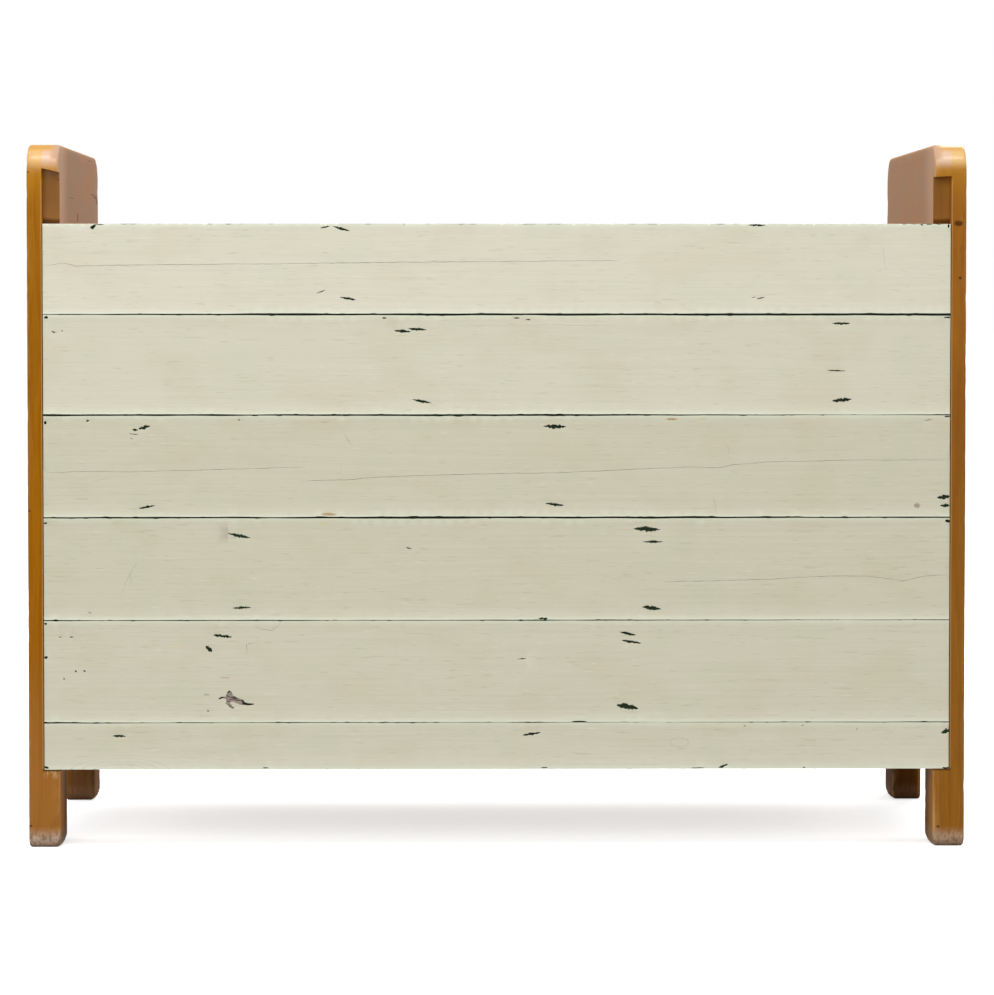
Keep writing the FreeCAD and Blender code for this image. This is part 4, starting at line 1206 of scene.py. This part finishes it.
def comb_of_slats(name, nodes, body, draw):
    """One comb, made from the first of its nodes and the step to the next."""
    low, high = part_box(nodes[0])
    values = {
        "Count": len(nodes),
        "Pitch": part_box(nodes[1])[0].x - low.x,
        "First": ((low.x + high.x) / 2, low.y, (low.z + high.z) / 2),
        "Length": high.y - low.y,
        "Width": high.x - low.x,
        "Thickness": high.z - low.z,
        "Arris": SLAT_ARRIS,
        "Seed": draw.randrange(1000),
        "Material": bare,
    }
    mesh = comb.bake(name, bpy.data.meshes.new(name + "_start"), values)
    numbers = np.empty(len(mesh.vertices))
    mesh.attributes["slat_number"].data.foreach_get("value", numbers)
    at = places(mesh)
    log = np.empty_like(at)
    for number in range(len(nodes)):
        own = numbers.round() == number
        middle = (at[own].min(0) + at[own].max(0)) / 2
        pith = draw.uniform(-30, 30) * MM, draw.uniform(25, 80) * MM
        log[own, 0] = at[own, 1] + draw.uniform(0, 6)
        log[own, 1] = at[own, 0] - middle[0] + pith[0]
        log[own, 2] = at[own, 2] - middle[2] + pith[1]
    mesh.attributes.remove(mesh.attributes["slat_number"])
    note(mesh, "log", log, "FLOAT_VECTOR")
    settle(mesh)
    return stand(name, mesh, body, "bare_pine", *nodes)


fixed_slats = [f"fixed_slat_{number}" for number in range(1, 8)]
pull_slats = [f"pull_slat_{number}" for number in range(1, 9)]
comb_of_slats("fixed_comb", fixed_slats, "bench_frame", random.Random(31))
comb_of_slats("sliding_comb", pull_slats, "pull_out", random.Random(32))


# Seat: four tongued and grooved boards on two battens, with old amber varnish, and the strip
# behind them that the hinges hang from. It is worn pale where people have sat down.
def seat_amber():
    pine = Pine("seat_varnish", ring_width=3.4, knot_cell=0.2, knot_share=0.5)
    colour = pine.wood((190, 136, 56), (124, 74, 22), (90, 46, 16))
    rubbed = (pine.attribute("rubbed") * pine.grain(8, 30, 4.0, 0.6).rise(0.35, 0.7)).least(1.0)
    layers = (pine.broad.rise(0.3, 0.7) * 0.3, (148, 92, 30)), (rubbed * 0.6, (200, 156, 102))
    return pine.surface(
        {
            "Base Color": pine.layers(colour, *layers),
            "Roughness": rubbed * 0.22 + pine.fibre * 0.1 + 0.34,
            "Normal": pine.bump(pine.late * 0.5 + pine.fibre * 0.35, 0.12 * MM),
            "Coat Weight": 0.35 - rubbed * 0.3,
            "Coat Roughness": 0.22,
        }
    )


seat_finish = seat_amber()
SITTING_PLACE, SITTING_REACH = (0.0, -0.06), (0.33, 0.12)


def note_rubbed(mesh):
    """Worn pale in the middle of the seat and along its front edge."""
    at = places(mesh)
    on_top = at[:, 2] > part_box("lid_board_1")[1].z - 3 * MM
    aside, ahead = ((at[:, :2] - SITTING_PLACE) / SITTING_REACH).T
    middle = np.exp(-(aside**2) - ahead**2)
    front = (1 - (at[:, 1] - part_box("lid_board_4")[0].y) / (16 * MM)).clip(0, 1)
    note(mesh, "rubbed", on_top * middle * 0.8 + front * 0.9)


def plank_in(node, axes, tongue, groove):
    """The plank in a node's box, with these axes along it, up its face and into its wood."""
    low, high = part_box(node)
    ways = sum((Vector(axis) for axis in axes), Vector())
    origin = [high[k] if ways[k] < 0 else low[k] for k in range(3)]
    size = [abs((high - low).dot(Vector(axis))) for axis in axes]
    size[1] -= TONGUE_LENGTH if tongue else 0
    return Plank(origin, axes, size, tongue, groove)


for number in range(1, 5):
    node, name = f"lid_board_{number}", f"lid_plank_{number}"
    plank = plank_in(node, ((1, 0, 0), (0, -1, 0), (0, 0, -1)), number < 4, number > 1)
    points, faces = plank.core((0.0, 0.0))
    kinds = [int(finish_of(plank, points, face, (0,)) == 2) for face in faces]
    mesh = mesh_of(name, points, faces, kinds)
    note_rubbed(mesh)
    lay_in_log(mesh, 0, 1, random.Random(300 + number))
    for finish in (seat_finish, bare):
        mesh.materials.append(finish)
    stand(name, mesh, "seat_lid", "varnished_pine", node)

strip = planed_bar(
    "hinge_strip", "seat_strip", "bench_frame", seat_finish, "varnished_pine", random.Random(310)
)
note_rubbed(strip.data)
for number, node in enumerate(("lid_batten_left", "lid_batten_right"), start=320):
    planed_bar("bare_" + node, node, "seat_lid", bare, "bare_pine", random.Random(number), 2.2 * MM)


# Front of the pull-out: three tongued and grooved boards, painted like the back outside and left
# bare inside, with two bare sides behind them that run on the runners.
for number in range(1, 4):
    node = f"front_board_{number}"
    plank = plank_in(node, ((1, 0, 0), (0, 0, 1), (0, 1, 0)), number < 3, number > 1)
    draw = random.Random(400 + number)
    gaps = [worn_edge(plank, top, draw) for top in (False, True)]
    for whorl in (0.07, 0.52, 0.98):
        for _ in range(draw.choice((1, 1, 2))):
            p = plank.length * whorl + draw.uniform(-25, 15) * MM
            q = draw.uniform(0.1, 0.9) * plank.height
            wide, high = draw.uniform(8, 20) * MM, draw.uniform(2, 4.5) * MM
            if 4 * MM < p < plank.length - wide - 4 * MM:
                gaps.append(chip((p, q - high / 2, p + wide, q + high / 2), draw))
    painted_board(f"front_plank_{number}", node, "pull_out", plank, {0: (gaps, [])}, 0.4, draw)


def bare_slab(name, node, body, corners, step, arris, depth, place, seed, log_axes, draw):
    """A board of any outline in bare pine, for one node."""
    slab = Slab(rounded_outline(corners, step), depth, arris, place, seed)
    mesh = mesh_of(name, slab.points, slab.faces)
    lay_in_log(mesh, *log_axes, draw)
    mesh.materials.append(bare)
    return stand(name, mesh, body, "bare_pine", node)


for side, sign, seed in (("left", 1, 41), ("right", -1, 42)):
    node = "pull_side_" + side
    low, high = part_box(node)
    corners = (
        ((low.y, low.z), 2 * MM), ((high.y, low.z), 2 * MM), ((high.y, high.z), 24 * MM),
        ((low.y, high.z), 2 * MM),
    )
    place = upright(sign, max(abs(low.x), abs(high.x)))
    sizes = corners, 8 * MM, 1.5 * MM, high.x - low.x
    name, draw = "bare_side_" + side, random.Random(seed)
    bare_slab(name, node, "pull_out", *sizes, place, sign + 5, (1, 2), draw)
for number, node in enumerate(("slat_ledger", "stop_batten"), start=430):
    planed_bar("bare_" + node, node, "pull_out", bare, "bare_pine", random.Random(number))


# Knobs: turned pine, varnished amber, each with a collar, a waisted neck and a flattened head
# with a turned ring. A screw from behind holds each to the front boards.
KNOB_TURNS, NECK, COLLAR, HEAD_ROUND = 56, 8 * MM, 12 * MM, 4.6 * MM


def turned_knob(name, node, draw):
    low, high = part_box(node)
    centre, reach, head = (low + high) / 2, high.y - low.y, (high.x - low.x) / 2
    profile = [(COLLAR, 0.0), (COLLAR, 0.09), (COLLAR - 1.2 * MM, 0.15), (NECK + 1.5 * MM, 0.19)]
    for share in (step / 6 for step in range(7)):
        profile.append((NECK + 1.5 * MM * (2 * share - 1) ** 2, 0.22 + 0.22 * share))
    for angle in (math.radians(-78 + 150 * step / 12) for step in range(1, 13)):
        radius = head - HEAD_ROUND + HEAD_ROUND * math.cos(angle)
        profile.append((radius, 0.71 + 0.26 * math.sin(angle)))
    turned_ring = (0.62, 0.982), (0.58, 0.968), (0.54, 0.985), (0.3, 0.997)
    profile += [(head * wide, share) for wide, share in turned_ring]
    angles = [2 * math.pi * turn / KNOB_TURNS for turn in range(KNOB_TURNS)]
    points = [
        (centre.x + r * math.cos(angle), high.y - reach * share, centre.z + r * math.sin(angle))
        for r, share in profile
        for angle in angles
    ]
    faces = bridge(len(profile), KNOB_TURNS)
    first, last, total = 0, len(points) - KNOB_TURNS, len(points)
    for turn in range(KNOB_TURNS):
        after = (turn + 1) % KNOB_TURNS
        faces += [(first + turn, first + after, total), (last + turn, last + after, total + 1)]
    points += [(centre.x, high.y, centre.z), (centre.x, low.y, centre.z)]
    mesh = mesh_of(name, points, faces)
    note(mesh, "rubbed", [max(0.0, (high.y - v.co.y) / reach - 0.8) * 3 for v in mesh.vertices])
    lay_in_log(mesh, 1, 0, draw)
    mesh.materials.append(seat_finish)
    return stand(name, mesh, "pull_out", "varnished_pine", node)


turned_knob("turned_knob_left", "knob_left", random.Random(51))
turned_knob("turned_knob_right", "knob_right", random.Random(52))


# Legs: pine bars with a round head, each on a bolt behind the lowest front board. They fold up
# towards the middle.
for side, sign, seed in (("left", 1, 61), ("right", -1, 62)):
    node = "leg_" + side
    low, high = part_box(node)
    head = (high.z - low.z) / 2
    near, far = sorted((abs(low.x), abs(high.x)))
    corners = (
        ((near, low.z), 5 * MM), ((far, low.z), head),
        ((far, high.z), head), ((near, high.z), 5 * MM),
    )

    def place(point, depth, sign=sign, front=low.y):
        return Vector((sign * point.x, front + depth, point.y))

    sizes = corners, 5 * MM, 2 * MM, high.y - low.y
    bare_slab("bare_" + node, node, node, *sizes, place, sign + 9, (0, 2), random.Random(seed))


# Metal: brass butt hinges, and steel bolts with domed heads, washers and nuts for the legs.
# They are dull with age, and darker where hands and oil have not reached.
def old_metal(name, clean, dark, rough, nodes):
    """A dull metal, given to the nodes that are made of it."""
    metal = Finish(name)
    place = metal.node("TexCoord", out="Object")
    cloud, speck = metal.noise(place, 70.0, 4.0, 0.6), metal.noise(place, 900.0, 3.0, 0.6)
    colour = metal.mix(cloud.rise(0.35, 0.65), clean, dark)
    made = metal.surface(
        {
            "Base Color": metal.mix(speck.rise(0.58, 0.7) * 0.6, colour, dark),
            "Metallic": 1.0 - speck.rise(0.6, 0.7) * 0.5,
            "Roughness": cloud * 0.3 + rough,
            "Normal": metal.bump(speck, 0.05 * MM),
        }
    )
    for node in nodes:
        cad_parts[node].material_slots[0].material = made
    return made


parts = "frame_leaf", "lid_leaf", "pin"
hinge_parts = [f"hinge_{part}_{side}" for part in parts for side in ("left", "right")]
bolt_parts = ["leg_bolt_left", "leg_bolt_right", "leg_washers", "leg_nuts"]
brass = old_metal("old_brass", (186, 156, 96), (112, 88, 52), 0.25, hinge_parts)
steel = old_metal("dark_steel", (120, 116, 112), (66, 60, 56), 0.3, bolt_parts)


# Screws and nails: slotted countersunk screws hold the bars and battens, brass ones the hinge
# leaves, and wire nails with flat heads hold the slats.
HEAD_SIDES, CROWN, SLOT_WIDTH = 20, 0.84, 0.32


def fastening_recipe():
    recipe = Recipe(
        "heads", Radius="Float", Height="Float", Slot="Float", Slotted="Bool", Seed="Int",
        Material="Material",
    )
    node, given = recipe.node, recipe.given
    radius, height = given("Radius"), given("Height")
    values = {
        "Vertices": HEAD_SIDES, "Radius Top": radius * CROWN, "Radius Bottom": radius,
        "Depth": height,
    }
    head = node("GeometryNodeMeshCone", values=values)
    size = node("CombineXYZ", values={"X": radius * 3.0, "Y": given("Slot"), "Z": height})
    bar = node("GeometryNodeMeshCube", values={"Size": size})
    lift = node("CombineXYZ", values={"Z": height * 0.95})
    bar = node("GeometryNodeTransform", values={"Geometry": bar, "Translation": lift})
    values = {"Mesh 1": head, "Mesh 2": bar}
    slotted = node("GeometryNodeMeshBoolean", {"operation": "DIFFERENCE"}, values)
    values = {"Switch": given("Slotted"), "False": head, "True": slotted}
    head = node("GeometryNodeSwitch", {"input_type": "GEOMETRY"}, values)
    vector = {"data_type": "FLOAT_VECTOR"}
    facing = node("GeometryNodeInputNamedAttribute", vector, {"Name": "facing"})
    aimed = node("FunctionNodeAlignRotationToVector", {"axis": "Z"}, {"Vector": facing})
    values = {"Min": (0, 0, 0), "Max": (0, 0, math.pi), "Seed": given("Seed")}
    values = {"Rotation": aimed, "Rotate By": node("FunctionNodeRandomValue", vector, values)}
    turned = node("FunctionNodeRotateRotation", {"rotation_space": "LOCAL"}, values)
    values = {"Points": given("Geometry"), "Instance": head, "Rotation": turned}
    return recipe.finish(node("GeometryNodeInstanceOnPoints", values=values))


heads = fastening_recipe()
# Each kind: slot, metal, radius and height of its head, and whether it has a slot for a driver
SCREW = "steel_bolts", steel, 3.6 * MM, 1.2 * MM, True
HINGE_SCREW = "brass_hinges", brass, 3.0 * MM, 0.78 * MM, True
NAIL = "steel_bolts", steel, 2.6 * MM, 0.95 * MM, False
SINK, NAIL_SINK = 0.9 * MM, 0.8 * MM


def fasten(name, body, kind, seed, spots):
    """Heads at spots, each a place and the way that it faces, standing just proud of the wood."""
    slot, metal, radius, height, slotted = kind
    mesh = bpy.data.meshes.new(name + "_spots")
    mesh.from_pydata([place for place, _ in spots], [], [])
    note(mesh, "facing", [facing for _, facing in spots], "FLOAT_VECTOR")
    values = {
        "Radius": radius, "Height": height, "Slot": radius * SLOT_WIDTH, "Slotted": slotted,
        "Seed": seed, "Material": metal,
    }
    made = heads.bake(name, mesh, values)
    settle(made)
    return stand(name, made, body, slot)


def row(low, high, count, inset):
    """Places from low to high, the first and last inset from the ends."""
    return [low + inset + (high - low - 2 * inset) * step / (count - 1) for step in range(count)]


spots = []
for side, sign in (("left", 1), ("right", -1)):
    for low, high in map(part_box, (f"runner_{side}", f"seat_cleat_{side}")):
        x, z = sign * (min(abs(low.x), abs(high.x)) + SINK), (low.z + high.z) / 2
        spots += [((x, y, z), (-sign, 0, 0)) for y in row(low.y, high.y, 4, 40 * MM)]
low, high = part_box("seat_rail_rear")
y, z = low.y + SINK, (low.z + high.z) / 2
spots += [((x, y, z), (0, -1, 0)) for x in row(low.x, high.x, 5, 90 * MM)]
low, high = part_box("seat_strip")
y, z = high.y - 14 * MM, high.z - SINK
spots += [((x, y, z), (0, 0, 1)) for x in row(low.x, high.x, 5, 30 * MM)]
fasten("frame_screws", "bench_frame", SCREW, 3, spots)

spots = []
for side in ("left", "right"):
    low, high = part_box(f"lid_batten_{side}")
    x, z = (low.x + high.x) / 2, low.z + SINK
    for number in range(1, 5):
        board_low, board_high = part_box(f"lid_board_{number}")
        y = min(max((board_low.y + board_high.y) / 2, low.y + 18 * MM), high.y - 18 * MM)
        for across in (-15 * MM, 15 * MM):
            spots.append(((x + across, y + across * 0.8, z), (0, 0, -1)))
fasten("lid_screws", "seat_lid", SCREW, 5, spots)

inner_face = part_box("front_board_1")[1].y - SINK
knobs = [(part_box(node)[0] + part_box(node)[1]) / 2 for node in ("knob_left", "knob_right")]
spots = [((knob.x, inner_face, knob.z), (0, 1, 0)) for knob in knobs]
fasten("knob_screws", "pull_out", SCREW, 7, spots)

for name, body, seed, slats, rails in (
    ("fixed_nails", "bench_frame", 9, fixed_slats, ("slat_rail_front", "slat_rail_rear")),
    ("sliding_nails", "pull_out", 11, pull_slats, ("slat_ledger", "stop_batten")),
):
    spots = []
    for low, high in map(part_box, slats):
        for rail_low, rail_high in map(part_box, rails):
            x, y, z = (low.x + high.x) / 2, (rail_low.y + rail_high.y) / 2, high.z - NAIL_SINK
            spots += [((x + sign * 16 * MM, y + sign * 3 * MM, z), (0, 0, 1)) for sign in (-1, 1)]
    fasten(name, body, NAIL, seed, spots)

for part, body, way, name in (
    ("frame_leaf", "bench_frame", -1, "hinge_frame_screws"),
    ("lid_leaf", "seat_lid", 1, "hinge_lid_screws"),
):
    spots = []
    for side in ("left", "right"):
        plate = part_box(f"hinge_{part}_{side}")[0].z + 7.5 * MM
        pin_low, pin_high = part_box(f"hinge_pin_{side}")
        face = (pin_low.y + pin_high.y) / 2 - way * 0.85 * MM
        for x, up in zip(row(pin_low.x, pin_high.x, 3, 10 * MM), (0.0, 2.5 * MM, 0.0)):
            spots.append(((x, face, plate + up), (0, way, 0)))
    fasten(name, body, HINGE_SCREW, 13, spots)
